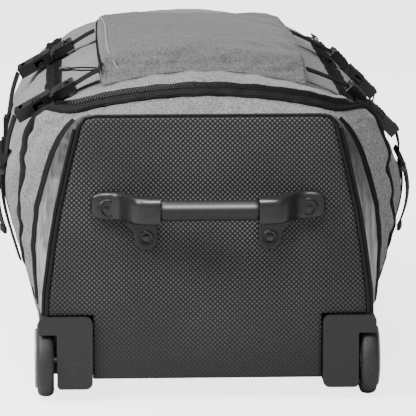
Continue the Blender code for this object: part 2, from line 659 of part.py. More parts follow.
def strap(line, depth):
    """Webbing that follows a line across the bag, at its real thickness."""
    half = WEBBING_THICKNESS / 2
    sides = ([], [])
    for i, point in enumerate(line):
        way = line[min(i + 1, len(line) - 1)] - line[max(i - 1, 0)]
        off = Vector((-way.y, way.x)).normalized() * half
        sides[0].append(tuple(point + off))
        sides[1].append(tuple(point - off))
    width = WEBBING_WIDTH / 2
    return prism(sides[0] + sides[1][::-1], "Y", at(depth - width), at(depth + width))


def laid(shape, middle, out, off):
    """Moves a shape drawn with X outwards, Y along the bag and Z off it to its place."""
    turn = Matrix((out, (0, 1, 0), off)).transposed().to_4x4()
    bmesh.ops.transform(shape, matrix=Matrix.Translation(middle) @ turn, verts=shape.verts)
    return shape


START = -BUCKLE_LENGTH / 2
MOUTH = START + BUCKLE_SPLIT
WIDTH = BUCKLE_WIDTH / 2
PRONG = WIDTH - 1.6
SLOT = WEBBING_WIDTH / 2 + 0.5
PLUG_THICKNESS = BUCKLE_THICKNESS - 2
for label, side, depth, lean, outside in BUCKLES:
    frame = buckle_frame(side, depth, lean, outside)
    middle, out, off = frame
    body = "plug_" + label
    tip = MOUTH + PRONG_LENGTH
    fork = [(START + 12, -WIDTH), (MOUTH, -WIDTH), (MOUTH, -PRONG), (tip, -PRONG),
            (tip, -PRONG + 4.5), (MOUTH + 2, -PRONG + 4.5), (MOUTH + 2, -2.5),
            (tip - 7, -2.5), (tip - 7, 2.5), (MOUTH + 2, 2.5), (MOUTH + 2, PRONG - 4.5),
            (tip, PRONG - 4.5), (tip, PRONG), (MOUTH, PRONG), (MOUTH, WIDTH), (START + 12, WIDTH)]
    thin = BUCKLE_THICKNESS / 4
    base = box((START, MOUTH - 4), (-WIDTH, WIDTH), (-PLUG_THICKNESS / 2, PLUG_THICKNESS / 2))
    plug = piece("buckle_plug_" + label, laid(base, *frame), BLACK_NYLON, body)
    boolean(plug, "UNION", laid(prism(fork, "Z", -thin, thin), *frame), body)
    slot = box((START + 5, START + 9.5), (-SLOT, SLOT), (-20, 20))
    boolean(plug, "DIFFERENCE", laid(slot, *frame), body)

    half = BUCKLE_THICKNESS / 2
    room = thin + 0.5
    case = box((MOUTH + GAP, -START), (-WIDTH, WIDTH), (-half, half))
    socket = piece("buckle_socket_" + label, laid(case, *frame), BLACK_NYLON)
    mouth = box((MOUTH - 5, tip + 3), (-PRONG - 0.4, PRONG + 0.4), (-room, room))
    boolean(socket, "DIFFERENCE", laid(mouth, *frame))
    window = box((tip - 11, tip), (-WIDTH - 5, WIDTH + 5), (0.3 - room, room - 0.3))
    boolean(socket, "DIFFERENCE", laid(window, *frame))
    slot = box((-START - 9.5, -START - 5), (-SLOT, SLOT), (-20, 20))
    boolean(socket, "DIFFERENCE", laid(slot, *frame))

    seat = Vector((side * (POCKET_HALF + 2.5), CROWN - 9 * TALL))
    plug_end = Vector((middle.x, middle.z)) + Vector((out.x, out.z)) * (START - 0.6)
    piece("lid_strap_" + label, strap([seat, seat.lerp(plug_end, 0.5), plug_end], depth),
          WEBBING, "lid")
    socket_end = [Vector((middle.x, middle.z)) + Vector((out.x, out.z)) * (-START + beyond)
                  for beyond in (0.6, 4.0)]
    hugging = moved_in(mirrored(MIDDLE_OUTLINE), -1.6)
    line = [Vector((side * x, z)) for x, z in (hugging[8], hugging[7], hugging[6], hugging[5])]
    line[3] = line[2].lerp(line[3], 0.8)
    piece("side_strap_" + label, strap(socket_end + line, depth), WEBBING)


# Zip sliders and their pullers

def slider_shape():
    """A slider drawn with Y along the zip and Z off it: a foot and a crown over its middle."""
    foot = box((-4.5, 4.5), (-7, 7), (-0.5, 1.2))
    crown = [(-5.2, 0.6), (-5.2, 4.6), (-4.2, 5.3), (4.2, 5.3), (5.2, 4.6), (5.2, 0.6),
             (3.9, 0.6), (3.9, 4.0), (-3.9, 4.0), (-3.9, 0.6)]
    return foot, prism(crown, "X", -1.2, 1.2)


def puller_shape(way, length):
    """A puller drawn flat along Y from its pivot bar, with a window round the crown."""
    plate = box((-4, 4), sorted((-way * 0.8, way * length)), (-0.8, 0.8))
    window = box((-2.25, 2.25), sorted((way * 0.9, way * 7.8)), (-5, 5))
    return plate, window


def fit_slider(name, frame, body):
    foot, crown = slider_shape()
    slider = piece(name, laid(foot, *frame), BLACK_NYLON, body)
    boolean(slider, "UNION", laid(crown, *frame), body)


def fit_puller(name, frame, body, way, length):
    plate, window = puller_shape(way, length)
    puller = piece(name, laid(plate, *frame), BLACK_NYLON, body)
    boolean(puller, "DIFFERENCE", laid(window, *frame), body)


for label, depth, way in SLIDERS:
    foot, off = slider_frame(depth)
    out = Vector((off.z, 0, -off.x))
    fit_slider("zipper_slider_" + label, (foot, out, off), "slider_" + label)
    fit_puller("zipper_puller_" + label, (foot + off * PIVOT_LIFT, out, off),
               "puller_" + label, way, 32)

# The pocket's slider rides on its left wall, and its puller stands straight out from there.
left, up = Vector((-1, 0, 0)), Vector((0, 0, 1))
fit_slider("pocket_slider", (POCKET_FOOT, up, left), "pocket_slider")
plate = box((-38, 0.8), (-0.8, 0.8), (-2.6, 2.6))
pocket_pivot = POCKET_FOOT + left * PIVOT_LIFT
bmesh.ops.translate(plate, verts=plate.verts, vec=pocket_pivot)
puller = piece("pocket_puller", plate, WEBBING, "pocket_puller")
window = box((-7.8, -0.9), (-5, 5), (-1.6, 1.6))
bmesh.ops.translate(window, verts=window.verts, vec=pocket_pivot)
boolean(puller, "DIFFERENCE", window, "pocket_puller")

# Side carry handle: two webbing legs and a padded bar, hanging flat against the left side

LEG = 15.0
CARRY_HALF = 80.0
INNER_X = -HALF - 1
low = CARRY_HEIGHT - CARRY_DROP
loop = [(-CARRY_HALF, CARRY_HEIGHT + 3), (-CARRY_HALF, low), (CARRY_HALF, low),
        (CARRY_HALF, CARRY_HEIGHT + 3), (CARRY_HALF - LEG, CARRY_HEIGHT + 3),
        (CARRY_HALF - LEG, low + 16), (-CARRY_HALF + LEG, low + 16),
        (-CARRY_HALF + LEG, CARRY_HEIGHT + 3)]
handle = piece("carry_handle", prism([(at(CARRY_DEPTH + y), z) for y, z in loop], "X",
                                     INNER_X - 4, INNER_X), WEBBING, "carry_handle")
boolean(handle, "UNION", box(
    (INNER_X - 9, INNER_X - 1), (at(CARRY_DEPTH - CARRY_HALF + 14), at(CARRY_DEPTH + CARRY_HALF - 14)),
    (low + 0.5, low + 15.5)), "carry_handle")
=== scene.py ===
"""The looks of a wheeled soft bag for three bowling balls, lying on its back with the lid up.

Sizes are in millimetres: x across the bag, depth behind the near face of the end panel, and
z up from the floor. place() turns them into the frame's metres.
"""
import json
import math

import bmesh
import bpy
import numpy as np
from mathutils import Matrix, Vector, noise
from mathutils.bvhtree import BVHTree
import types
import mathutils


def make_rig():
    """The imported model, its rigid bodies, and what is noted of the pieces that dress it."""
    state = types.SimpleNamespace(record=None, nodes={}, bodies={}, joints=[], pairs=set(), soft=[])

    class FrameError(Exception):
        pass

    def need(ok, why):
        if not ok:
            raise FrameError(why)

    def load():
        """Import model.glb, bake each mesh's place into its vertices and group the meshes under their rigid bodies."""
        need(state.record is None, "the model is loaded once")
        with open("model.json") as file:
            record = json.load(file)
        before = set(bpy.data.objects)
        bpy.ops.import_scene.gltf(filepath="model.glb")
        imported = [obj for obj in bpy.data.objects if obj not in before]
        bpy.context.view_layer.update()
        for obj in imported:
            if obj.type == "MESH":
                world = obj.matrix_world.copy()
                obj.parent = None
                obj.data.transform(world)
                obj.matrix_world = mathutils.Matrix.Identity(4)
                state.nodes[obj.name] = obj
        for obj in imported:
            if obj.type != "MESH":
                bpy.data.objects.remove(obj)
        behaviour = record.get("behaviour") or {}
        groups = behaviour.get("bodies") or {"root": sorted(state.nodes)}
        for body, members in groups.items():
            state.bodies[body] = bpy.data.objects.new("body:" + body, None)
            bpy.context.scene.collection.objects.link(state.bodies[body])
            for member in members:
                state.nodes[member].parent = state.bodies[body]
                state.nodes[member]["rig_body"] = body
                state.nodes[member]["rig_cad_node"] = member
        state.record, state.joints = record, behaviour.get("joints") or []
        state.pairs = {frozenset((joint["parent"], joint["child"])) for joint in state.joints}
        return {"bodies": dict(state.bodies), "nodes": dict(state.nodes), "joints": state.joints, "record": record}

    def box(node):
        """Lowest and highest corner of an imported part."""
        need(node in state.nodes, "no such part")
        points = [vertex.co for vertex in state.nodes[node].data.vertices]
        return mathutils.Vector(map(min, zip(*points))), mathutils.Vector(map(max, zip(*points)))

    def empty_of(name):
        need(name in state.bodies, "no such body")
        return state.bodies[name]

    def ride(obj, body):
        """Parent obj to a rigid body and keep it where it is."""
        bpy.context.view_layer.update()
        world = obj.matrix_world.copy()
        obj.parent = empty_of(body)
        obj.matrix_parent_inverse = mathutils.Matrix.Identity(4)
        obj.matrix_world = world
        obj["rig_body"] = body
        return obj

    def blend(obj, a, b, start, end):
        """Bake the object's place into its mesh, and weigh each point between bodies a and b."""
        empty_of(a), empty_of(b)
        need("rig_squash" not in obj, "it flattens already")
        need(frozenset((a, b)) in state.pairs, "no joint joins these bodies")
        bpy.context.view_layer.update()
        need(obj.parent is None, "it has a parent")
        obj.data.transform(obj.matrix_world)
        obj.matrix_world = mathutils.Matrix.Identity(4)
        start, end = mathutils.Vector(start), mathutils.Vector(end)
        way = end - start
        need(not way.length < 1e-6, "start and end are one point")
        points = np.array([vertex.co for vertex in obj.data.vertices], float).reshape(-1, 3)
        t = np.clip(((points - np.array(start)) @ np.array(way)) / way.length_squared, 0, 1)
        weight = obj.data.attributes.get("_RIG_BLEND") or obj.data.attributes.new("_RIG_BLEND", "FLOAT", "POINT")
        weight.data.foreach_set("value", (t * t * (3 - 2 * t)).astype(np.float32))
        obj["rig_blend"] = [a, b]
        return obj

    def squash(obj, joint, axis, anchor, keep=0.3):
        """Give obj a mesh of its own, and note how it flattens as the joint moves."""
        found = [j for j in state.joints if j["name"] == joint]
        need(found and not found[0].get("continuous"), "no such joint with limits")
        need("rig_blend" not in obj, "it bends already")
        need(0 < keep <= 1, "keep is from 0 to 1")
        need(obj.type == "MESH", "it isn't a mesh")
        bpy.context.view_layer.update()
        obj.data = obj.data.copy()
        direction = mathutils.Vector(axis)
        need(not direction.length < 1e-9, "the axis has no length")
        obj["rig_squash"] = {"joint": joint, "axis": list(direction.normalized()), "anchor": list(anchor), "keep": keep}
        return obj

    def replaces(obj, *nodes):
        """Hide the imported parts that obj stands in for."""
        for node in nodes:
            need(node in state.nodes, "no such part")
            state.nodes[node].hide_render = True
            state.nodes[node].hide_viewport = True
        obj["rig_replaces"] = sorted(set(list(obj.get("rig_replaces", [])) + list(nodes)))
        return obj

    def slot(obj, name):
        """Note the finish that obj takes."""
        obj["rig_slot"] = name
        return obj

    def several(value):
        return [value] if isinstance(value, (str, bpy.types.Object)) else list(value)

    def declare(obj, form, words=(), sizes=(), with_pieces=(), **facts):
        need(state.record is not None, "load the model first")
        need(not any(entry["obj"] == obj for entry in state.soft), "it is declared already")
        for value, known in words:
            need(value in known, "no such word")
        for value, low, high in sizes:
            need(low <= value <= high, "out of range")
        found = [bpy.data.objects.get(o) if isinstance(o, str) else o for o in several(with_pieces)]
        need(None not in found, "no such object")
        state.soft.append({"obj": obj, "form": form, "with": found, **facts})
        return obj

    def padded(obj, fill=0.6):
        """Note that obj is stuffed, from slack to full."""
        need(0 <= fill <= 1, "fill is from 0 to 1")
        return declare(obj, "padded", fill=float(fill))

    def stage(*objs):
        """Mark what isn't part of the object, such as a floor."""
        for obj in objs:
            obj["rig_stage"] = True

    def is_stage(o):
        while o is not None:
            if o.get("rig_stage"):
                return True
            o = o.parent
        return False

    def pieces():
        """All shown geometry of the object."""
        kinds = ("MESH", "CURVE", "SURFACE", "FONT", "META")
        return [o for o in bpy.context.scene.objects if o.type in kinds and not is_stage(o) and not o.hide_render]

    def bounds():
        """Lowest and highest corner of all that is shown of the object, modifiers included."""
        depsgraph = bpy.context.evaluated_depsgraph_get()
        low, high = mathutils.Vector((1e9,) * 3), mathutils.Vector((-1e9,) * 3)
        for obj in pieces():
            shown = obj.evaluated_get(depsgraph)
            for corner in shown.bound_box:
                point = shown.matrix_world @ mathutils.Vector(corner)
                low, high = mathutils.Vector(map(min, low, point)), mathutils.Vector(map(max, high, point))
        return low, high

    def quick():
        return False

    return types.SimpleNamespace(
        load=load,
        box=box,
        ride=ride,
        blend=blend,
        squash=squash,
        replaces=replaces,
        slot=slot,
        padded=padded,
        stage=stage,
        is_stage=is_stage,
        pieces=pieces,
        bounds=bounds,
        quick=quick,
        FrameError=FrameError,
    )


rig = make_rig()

for old in list(bpy.data.objects):
    bpy.data.objects.remove(old)
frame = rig.load()
cad_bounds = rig.bounds()

# Studio: a large white softbox at the upper left, a weaker one at the right, one overhead,
# and a white sweep of floor. The camera is a long lens low in front of the wheel end.
MM = 0.001
NEAR_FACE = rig.box("end_panel")[0].y


def place(x, depth, z):
    return Vector((x * MM, NEAR_FACE + depth * MM, z * MM))


def linear(code):
    """An sRGB hex colour as linear RGBA."""
    parts = [int(code[i:i + 2], 16) / 255 for i in (1, 3, 5)]
    return [c / 12.92 if c <= 0.04045 else ((c + 0.055) / 1.055) ** 2.4 for c in parts] + [1.0]


def node(tree, kind, inputs, **settings):
    """Adds a shader node; an input is a value, or a (node, output name) pair to link."""
    made = tree.nodes.new("ShaderNode" + kind)
    for name, value in settings.items():
        setattr(made, name, value)
    for name, value in inputs.items():
        if isinstance(value, tuple) and isinstance(value[0], bpy.types.Node):
            tree.links.new(value[0].outputs[value[1]], made.inputs[name])
        else:
            made.inputs[name].default_value = value
    return made


def surface(name, **values):
    """A new material, with constants set on its shader's own sockets."""
    made = bpy.data.materials.new(name)
    made.use_nodes = True
    shader = made.node_tree.nodes["Principled BSDF"]
    for socket, value in values.items():
        shader.inputs[socket.replace("_", " ")].default_value = value
    return made, made.node_tree, shader


sweep, tree, shader = surface("white_vinyl_sweep", Roughness=0.9, Emission_Strength=3.0)
shader.inputs["Base Color"].default_value = linear("#d4d4d4")
shader.inputs["Emission Color"].default_value = linear("#ffffff")
ground = bmesh.new()
bmesh.ops.create_grid(ground, x_segments=2, y_segments=2, size=40)
mesh = bpy.data.meshes.new("floor")
ground.to_mesh(mesh)
mesh.materials.append(sweep)
floor = bpy.data.objects.new("floor", mesh)
bpy.context.scene.collection.objects.link(floor)
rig.stage(floor)
glow = bpy.data.collections.new("lit_by_sweep")  # the sweep's own glow lights only the sweep
glow.objects.link(floor)
floor.light_linking.receiver_collection = glow

world = bpy.data.worlds.new("white_room")
world.use_nodes = True
world.node_tree.nodes["Background"].inputs["Color"].default_value = linear("#ffffff")
world.node_tree.nodes["Background"].inputs["Strength"].default_value = 0.2
bpy.context.scene.world = world

TARGET = place(0, 0, 197)
for name, spot, size, watts in (("key", (-2.1, -0.9, 1.7), 1.1, 105), ("fill", (2.2, -1.9, 1.0), 1.0, 4),
                                ("top", (-0.7, 0.3, 2.2), 1.2, 50), ("strip", (-0.1, -1.5, 2.3), 1.1, 52)):
    lamp = bpy.data.lights.new(name, "AREA")
    lamp.size, lamp.energy = size, watts
    light = bpy.data.objects.new(name, lamp)
    light.location = TARGET + Vector(spot)
    light.rotation_euler = (-Vector(spot)).to_track_quat("-Z", "Y").to_euler()
    bpy.context.scene.collection.objects.link(light)

DISTANCE, AZIMUTH, ELEVATION = 3.5, math.radians(-2.5), math.radians(10)
view = Vector((math.sin(AZIMUTH) * math.cos(ELEVATION), -math.cos(AZIMUTH) * math.cos(ELEVATION),
               math.sin(ELEVATION)))
camera = bpy.data.objects.new("camera", bpy.data.cameras.new("camera"))
camera.data.lens, camera.data.sensor_width, camera.data.clip_end = 303, 36, 100
camera.location = TARGET + view * DISTANCE
camera.rotation_euler = (-view).to_track_quat("-Z", "Y").to_euler()
bpy.context.scene.collection.objects.link(camera)
bpy.context.scene.camera = camera


# Fabric body: heathered polyester canvas on the sides, lid and pocket, and a satin nylon
# gusset next to the end panel, cut in panels and sewn. It is stuffed, so it is lofted through
# the outlines below, then pulled and wrinkled by cloth simulation with its seams held.
def finish(name, dark, light, grain, relief, stretch=(1, 1, 1), contrast=(0.35, 0.65), **values):
    """A material mottled between two colours, with grains and relief of a real size in mm."""
    made, tree, shader = surface(name, **values)
    spot = node(tree, "TexCoord", {})
    scale = node(tree, "Mapping", {"Vector": (spot, "Object"), "Scale": stretch})
    grains = node(tree, "TexNoise", {"Vector": (scale, "Vector"), "Scale": 0.5 / (grain * MM),
                                     "Detail": 3.0, "Roughness": 0.6})
    tone = node(tree, "ValToRGB", {"Fac": (grains, "Fac")})
    for stop, where, colour in zip(tone.color_ramp.elements, contrast, (dark, light)):
        stop.position, stop.color = where, linear(colour)
    bump = node(tree, "Bump", {"Height": (grains, "Fac"), "Distance": relief * MM,
                               "Strength": 1.0})
    tree.links.new(tone.outputs["Color"], shader.inputs["Base Color"])
    tree.links.new(bump.outputs["Normal"], shader.inputs["Normal"])
    return made


def canvas(name, dark, light):
    """Heathered plain-weave canvas: two yarn directions with slubs, and broad uneven dye."""
    made, tree, shader = surface(name, Roughness=0.88, Specular_IOR_Level=0.25,
                                 Sheen_Weight=0.18, Sheen_Roughness=0.5)
    spot = node(tree, "TexCoord", {})
    # Real yarns are 0.5 mm apart; slubs are drawn 1 mm wide and 3 mm long so that they show.
    yarn = 1 / (1.0 * MM)
    warp = node(tree, "Mapping", {"Vector": (spot, "Object"), "Scale": (1, 0.35, 0.35)})
    weft = node(tree, "Mapping", {"Vector": (spot, "Object"), "Scale": (0.3, 1, 1)})
    warps = node(tree, "TexNoise", {"Vector": (warp, "Vector"), "Scale": yarn, "Detail": 2.0})
    wefts = node(tree, "TexNoise", {"Vector": (weft, "Vector"), "Scale": 1.15 * yarn, "Detail": 2.0})
    yarns = node(tree, "Math", {0: (warps, "Fac"), 1: (wefts, "Fac")}, operation="ADD")
    tone = node(tree, "MapRange", {"Value": (yarns, "Value"), "From Min": 0.8, "From Max": 1.2})
    colour = node(tree, "Mix", {0: (tone, "Result"), 6: linear(dark), 7: linear(light)},
                  data_type="RGBA")
    clouds = node(tree, "TexNoise", {"Vector": (spot, "Object"), "Scale": 1 / (71.4 * MM), "Detail": 3.0})
    dye = node(tree, "MapRange", {"Value": (clouds, "Fac"), "From Min": 0.3, "From Max": 0.7,
                                  "To Min": 0.92, "To Max": 1.06})
    mixed = node(tree, "VectorMath", {0: (colour, 2), 1: (dye, "Result")}, operation="MULTIPLY")
    bump = node(tree, "Bump", {"Height": (yarns, "Value"), "Distance": 0.35 * MM})
    tree.links.new(mixed.outputs["Vector"], shader.inputs["Base Color"])
    tree.links.new(bump.outputs["Normal"], shader.inputs["Normal"])
    return made


HEATHER = canvas("heathered_polyester_canvas", "#595a59", "#8c8d8c")
# The pocket's copy of the same canvas, drawn darker as painted shade.
POCKET_SHADED_HEATHER = canvas("shaded_copy_pocket_canvas", "#414241", "#666766")
# Satin nylon: smooth long floats, so it shines along the folds. Its colour is streaked along its length as painted
# sheen, paler low down as painted floor bounce and darker towards the top as painted shade.
SATIN = finish("satin_nylon_gusset", "#595959", "#959595", 2.2, 0.35, (1, 1, 0.08),
               Roughness=0.42, Specular_IOR_Level=0.5, Sheen_Weight=0.12)
tree = SATIN.node_tree
height = node(tree, "SeparateXYZ", {"Vector": (tree.nodes["Texture Coordinate"], "Object")})
# Painted floor bounce and painted shade: the colour is scaled up low down and down towards the top.
painted_bounce_and_shade = node(tree, "MapRange", {"Value": (height, "Z"), "From Min": 0.14, "From Max": 0.255,
                                 "To Min": 1.45, "To Max": 0.2})
bounce_and_shade_colour = node(tree, "VectorMath", {0: (tree.nodes["Color Ramp"], "Color"), 1: (painted_bounce_and_shade, "Result")},
             operation="MULTIPLY")
tree.links.new(bounce_and_shade_colour.outputs["Vector"], tree.nodes["Principled BSDF"].inputs["Base Color"])
# Coated taffeta lining: pale, thin and dull.
LINING = finish("polyester_taffeta_lining", "#55575a", "#66686b", 1.2, 0.15, Roughness=0.75)

HALF_OUTLINES = {
    6.3: ((0, 22), (75, 22), (146, 22), (160, 26), (163, 60), (159.5, 110), (153, 160), (147, 195),
          (139, 230), (134.5, 250), (130.5, 265), (127, 280), (122, 287), (112, 289), (95, 289),
          (50, 289), (0, 289)),
    25: ((0, 22), (75, 22), (148, 22), (163, 27), (168, 60), (173, 110), (176, 155), (172, 195),
         (162, 230), (155.5, 250), (148, 265), (141, 275), (133, 283), (120, 289), (98, 295),
         (50, 301), (0, 304)),
    42: ((0, 22), (75, 22), (149, 22), (163, 27), (168, 60), (175, 110), (183, 155), (185, 195),
         (181, 230), (175, 252), (170, 268), (162, 283), (152, 296), (128, 304), (100, 310),
         (50, 317), (0, 320)),
    80: ((0, 22), (75, 22), (150, 22), (163, 27), (167, 60), (175, 110), (187, 160), (189, 195),
         (186, 230), (183, 252), (179, 268), (168, 282), (151, 293), (127, 301), (101, 309),
         (50, 325), (0, 328)),
    108: ((0, 22), (75, 22), (150, 22), (161, 27), (165, 60), (174, 110), (193, 160), (202, 195),
          (200, 228), (190, 249), (178, 264), (164, 277), (150, 287), (125, 294), (100, 303),
          (50, 325), (0, 328)),
    640: ((0, 22), (75, 22), (150, 22), (161, 27), (165, 60), (174, 110), (191, 160), (200, 195),
          (198, 228), (188, 249), (177, 264), (164, 277), (150, 287), (125, 293), (100, 300),
          (50, 315), (0, 317)),
    700: ((0, 22), (75, 22), (149, 22), (161, 27), (165, 60), (174, 110), (188, 160), (193, 195),
          (189, 228), (180, 246), (169, 260), (157, 272), (145, 281), (122, 291), (98, 299),
          (50, 305), (0, 307)),
    745: ((0, 22), (75, 22), (147, 22), (160, 28), (170, 60), (178, 110), (182, 160), (182, 195),
          (176, 228), (167, 245), (156, 257), (144, 266), (132, 273), (113, 281), (92, 287),
          (48, 292), (0, 294)),
    760: ((0, 24), (75, 24), (140, 24), (152, 32), (160, 62), (166, 108), (168, 155), (166, 188),
          (160, 215), (152, 232), (142, 243), (131, 251), (120, 257), (103, 263), (84, 267),
          (44, 271), (0, 273)),
}
HALF_OUTLINES[478.8] = HALF_OUTLINES[108]
KNOWN_DEPTHS = sorted(HALF_OUTLINES)
GUSSET_SEAM, SIDE_SEAM, FAR_END, HINGE = 25, 80, 760, 700
SPLIT = 712  # where the lid's fabric joins the body's, just behind the hinge


def half_outline(depth):
    """Half the body's outline at any depth, in between the known ones."""
    points = np.array([HALF_OUTLINES[d] for d in KNOWN_DEPTHS], float)
    return np.array([[np.interp(depth, KNOWN_DEPTHS, points[:, i, k]) for k in (0, 1)]
                     for i in range(points.shape[1])])


def ring(depth):
    half = [tuple(p) for p in half_outline(depth)]
    return [place(x, depth, z) for x, z in half + [(-x, z) for x, z in half[-2:0:-1]]]


def bridged(rings, closed=True):
    """Lines of points joined one to the next; returns the shape and each line's edges."""
    shape = bmesh.new()
    shape.edges.layers.float.new("crease_edge")
    loops = []
    for points in rings:
        made = [shape.verts.new(p) for p in points]
        loops.append([shape.edges.new((made[i - 1], made[i]))
                      for i in range(0 if closed else 1, len(made))])
    for first, second in zip(loops, loops[1:]):
        bmesh.ops.bridge_loops(shape, edges=first + second)
    return shape, loops


def put(name, shape, looks, body, slot=None, stands_for=(), sharp=40):
    """Makes the finished piece, which rides on its body."""
    mesh = bpy.data.meshes.new(name)
    shape.to_mesh(mesh)
    shape.free()
    for look in looks if isinstance(looks, (list, tuple)) else [looks]:
        mesh.materials.append(look)
    mesh.shade_smooth()
    mesh.set_sharp_from_angle(angle=math.radians(sharp))
    thing = bpy.data.objects.new(name, mesh)
    bpy.context.scene.collection.objects.link(thing)
    if body:
        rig.ride(thing, body)
    if slot:
        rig.slot(thing, slot)
    if stands_for:
        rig.replaces(thing, *stands_for)
    return thing


def modified(thing, kind, **settings):
    """Adds a modifier and applies it to the mesh."""
    modifier = thing.modifiers.new(kind, kind)
    for name, value in settings.items():
        setattr(modifier, name, value)
    graph = bpy.context.evaluated_depsgraph_get()
    mesh = bpy.data.meshes.new_from_object(thing.evaluated_get(graph),
                                           preserve_all_data_layers=True, depsgraph=graph)
    thing.modifiers.clear()
    old, thing.data = thing.data, mesh
    bpy.data.meshes.remove(old)
    return thing


def points_of(mesh):
    flat = np.empty(len(mesh.vertices) * 3, np.float32)
    mesh.vertices.foreach_get("co", flat)
    return flat.reshape(-1, 3).astype(float)


def reshaped(points, thing):
    """Moves every point of a mesh at once."""
    thing.data.vertices.foreach_set("co", np.array(points, np.float32).ravel())
    thing.data.update()


def stuffed(thing, pinned, pressure, growth, cap):
    """Swells a piece by cloth simulation, holding the points with a pin weight near 1."""
    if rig.quick():
        return
    group = thing.vertex_groups.new(name="pinned")
    for i, weight in enumerate(pinned):
        group.add([i], float(weight), "REPLACE")
    cloth = thing.modifiers.new("cloth", "CLOTH")
    rules = cloth.settings
    rules.quality, rules.mass = 5, 0.3
    rules.tension_stiffness = rules.compression_stiffness = 12
    rules.shear_stiffness, rules.bending_stiffness = 4, 0.15
    rules.use_pressure, rules.uniform_pressure_force = True, pressure
    rules.shrink_min = rules.shrink_max = -growth
    rules.vertex_group_mass, rules.pin_stiffness = "pinned", 3
    rules.effector_weights.gravity = 0
    cloth.collision_settings.use_collision = False
    cloth.point_cache.frame_start, cloth.point_cache.frame_end = 1, 20
    for step in range(1, 21):
        bpy.context.scene.frame_set(step)
    before = points_of(thing.data)
    graph = bpy.context.evaluated_depsgraph_get()
    moved = points_of(thing.evaluated_get(graph).data) - before
    reach = np.linalg.norm(moved, axis=1, keepdims=True) + 1e-9
    moved *= np.tanh(reach / (cap * MM)) * cap * MM / reach
    thing.modifiers.clear()
    thing.vertex_groups.clear()
    reshaped(before + moved, thing)
    bpy.context.scene.frame_set(1)


ZIP_SIDE, ZIP_NEAR, ZIP_CORNER = 150, 38, 25  # the zip line's half width, near end and corner radius


def lid_edge(x, depth):
    """Distance outside the zip line in plan, and the way straight out from it."""
    across, ahead = abs(x) - (ZIP_SIDE - ZIP_CORNER), (ZIP_NEAR + ZIP_CORNER) - depth
    side = 1 if x > 0 else -1
    if across > 0 and ahead > 0:
        reach = math.hypot(across, ahead)
        return reach - ZIP_CORNER, (side * across / reach, -ahead / reach)
    if across > ahead:
        return across - ZIP_CORNER, (side, 0)
    return ahead - ZIP_CORNER, (0, -1)


depths = [6.3, 14, 25, 33, 42, 60, 80, 108, 145, 185, 225, 265, 305, 345, 385, 425, 465, 505, 545,
          590, 640, 670, 700, 722, 745, 760]
shape, loops = bridged([ring(d) for d in depths])
for face in shape.faces:
    middle = face.calc_center_median()
    if middle.y < place(0, GUSSET_SEAM, 0).y and abs(middle.x) > 0.118:
        face.material_index = 1
crease = shape.edges.layers.float["crease_edge"]
for row, amount in ((0, 1.0), (2, 0.55), (6, 0.4), (len(depths) - 1, 0.5)):
    for edge in loops[row]:
        edge[crease] = amount
for end in (0, -1):
    cap = bmesh.ops.contextual_create(shape, geom=loops[end])["faces"]
    bmesh.ops.inset_region(shape, faces=cap, thickness=30 * MM, use_even_offset=True)
bmesh.ops.recalc_face_normals(shape, faces=shape.faces)
skin = put("body_shell_fabric", shape, [HEATHER, SATIN, LINING], None)
modified(skin, "SUBSURF", levels=2, render_levels=2)

# The seams, the zip's edge, the bottom and both ends hold the fabric while it swells.
weights = []
for co in points_of(skin.data):
    x, depth, z = co[0] / MM, (co[1] - NEAR_FACE) / MM, co[2] / MM
    near_zip = abs(lid_edge(x, depth)[0]) if z > 220 and depth < HINGE else 99
    closest = min(abs(depth - GUSSET_SEAM) * 1.3, abs(depth - SIDE_SEAM) * 1.3, near_zip,
                  max(0, z - 26), abs(depth - 6.3), abs(depth - FAR_END) * 0.8)
    weights.append(max(0.0, 1 - closest / 14))
stuffed(skin, weights, 2.2, 0.035, 5.5)


# Creases where the cloth buckles between seams: noise displacement, with long shallow folds on
# the sides, finer puckers near the wheels, and small ones from handling everywhere.
def folds(co):
    x, depth, z = co.x / MM, (co.y - NEAR_FACE) / MM, co.z / MM
    if z < 30 or depth < 7 or depth > 757:
        return 0.0
    if depth < GUSSET_SEAM:
        return 0.5 * noise.noise(Vector((x / 9, depth / 30, z / 60)))
    fade = min(1.0, (depth - GUSSET_SEAM) / 12)
    if depth < HINGE and z > 220:
        fade *= min(1.0, abs(lid_edge(x, depth)[0]) / 12)
    side = min(1.0, max(0.0, (abs(x) - 130) / 40))
    long_folds = noise.fractal(Vector((x / 60, depth / 55, z / 130)), 0.9, 2.0, 3)
    small = noise.fractal(Vector((x / 22, depth / 26, z / 30)), 0.8, 2.1, 2)
    cross = noise.noise(Vector((depth / 36 + z / 50, z / 18 - depth / 60, x / 90)))
    wheel_end = max(0.0, 1 - abs(depth - 50) / 34) * side
    puckers = noise.noise(Vector((depth / 14 + z / 26, z / 21 - depth / 30, x / 60)))
    across = (1.3 + 2.4 * wheel_end) * cross + 3.4 * wheel_end * puckers
    return fade * (2.6 * side * long_folds + 0.9 * small + across)


modified(skin, "SUBSURF", levels=1, render_levels=1)
reshaped([v.co + v.normal * folds(v.co) * MM for v in skin.data.vertices], skin)


def gathered(co):
    """Draws the fabric in to the wheel housings, which it is fixed round."""
    x, depth, z = co.x / MM, (co.y - NEAR_FACE) / MM, co.z / MM
    away = min(1.0, max(0.0, (z - 89) / 55, (depth - 74) / 45))
    limit = 168.5 + 45 * away ** 1.5
    return place(math.copysign(min(abs(x), limit), x), depth, z)


reshaped([gathered(v.co) for v in skin.data.vertices], skin)
surface_of_skin = bmesh.new()
surface_of_skin.from_mesh(skin.data)
SKIN = BVHTree.FromBMesh(surface_of_skin)
surface_of_skin.free()


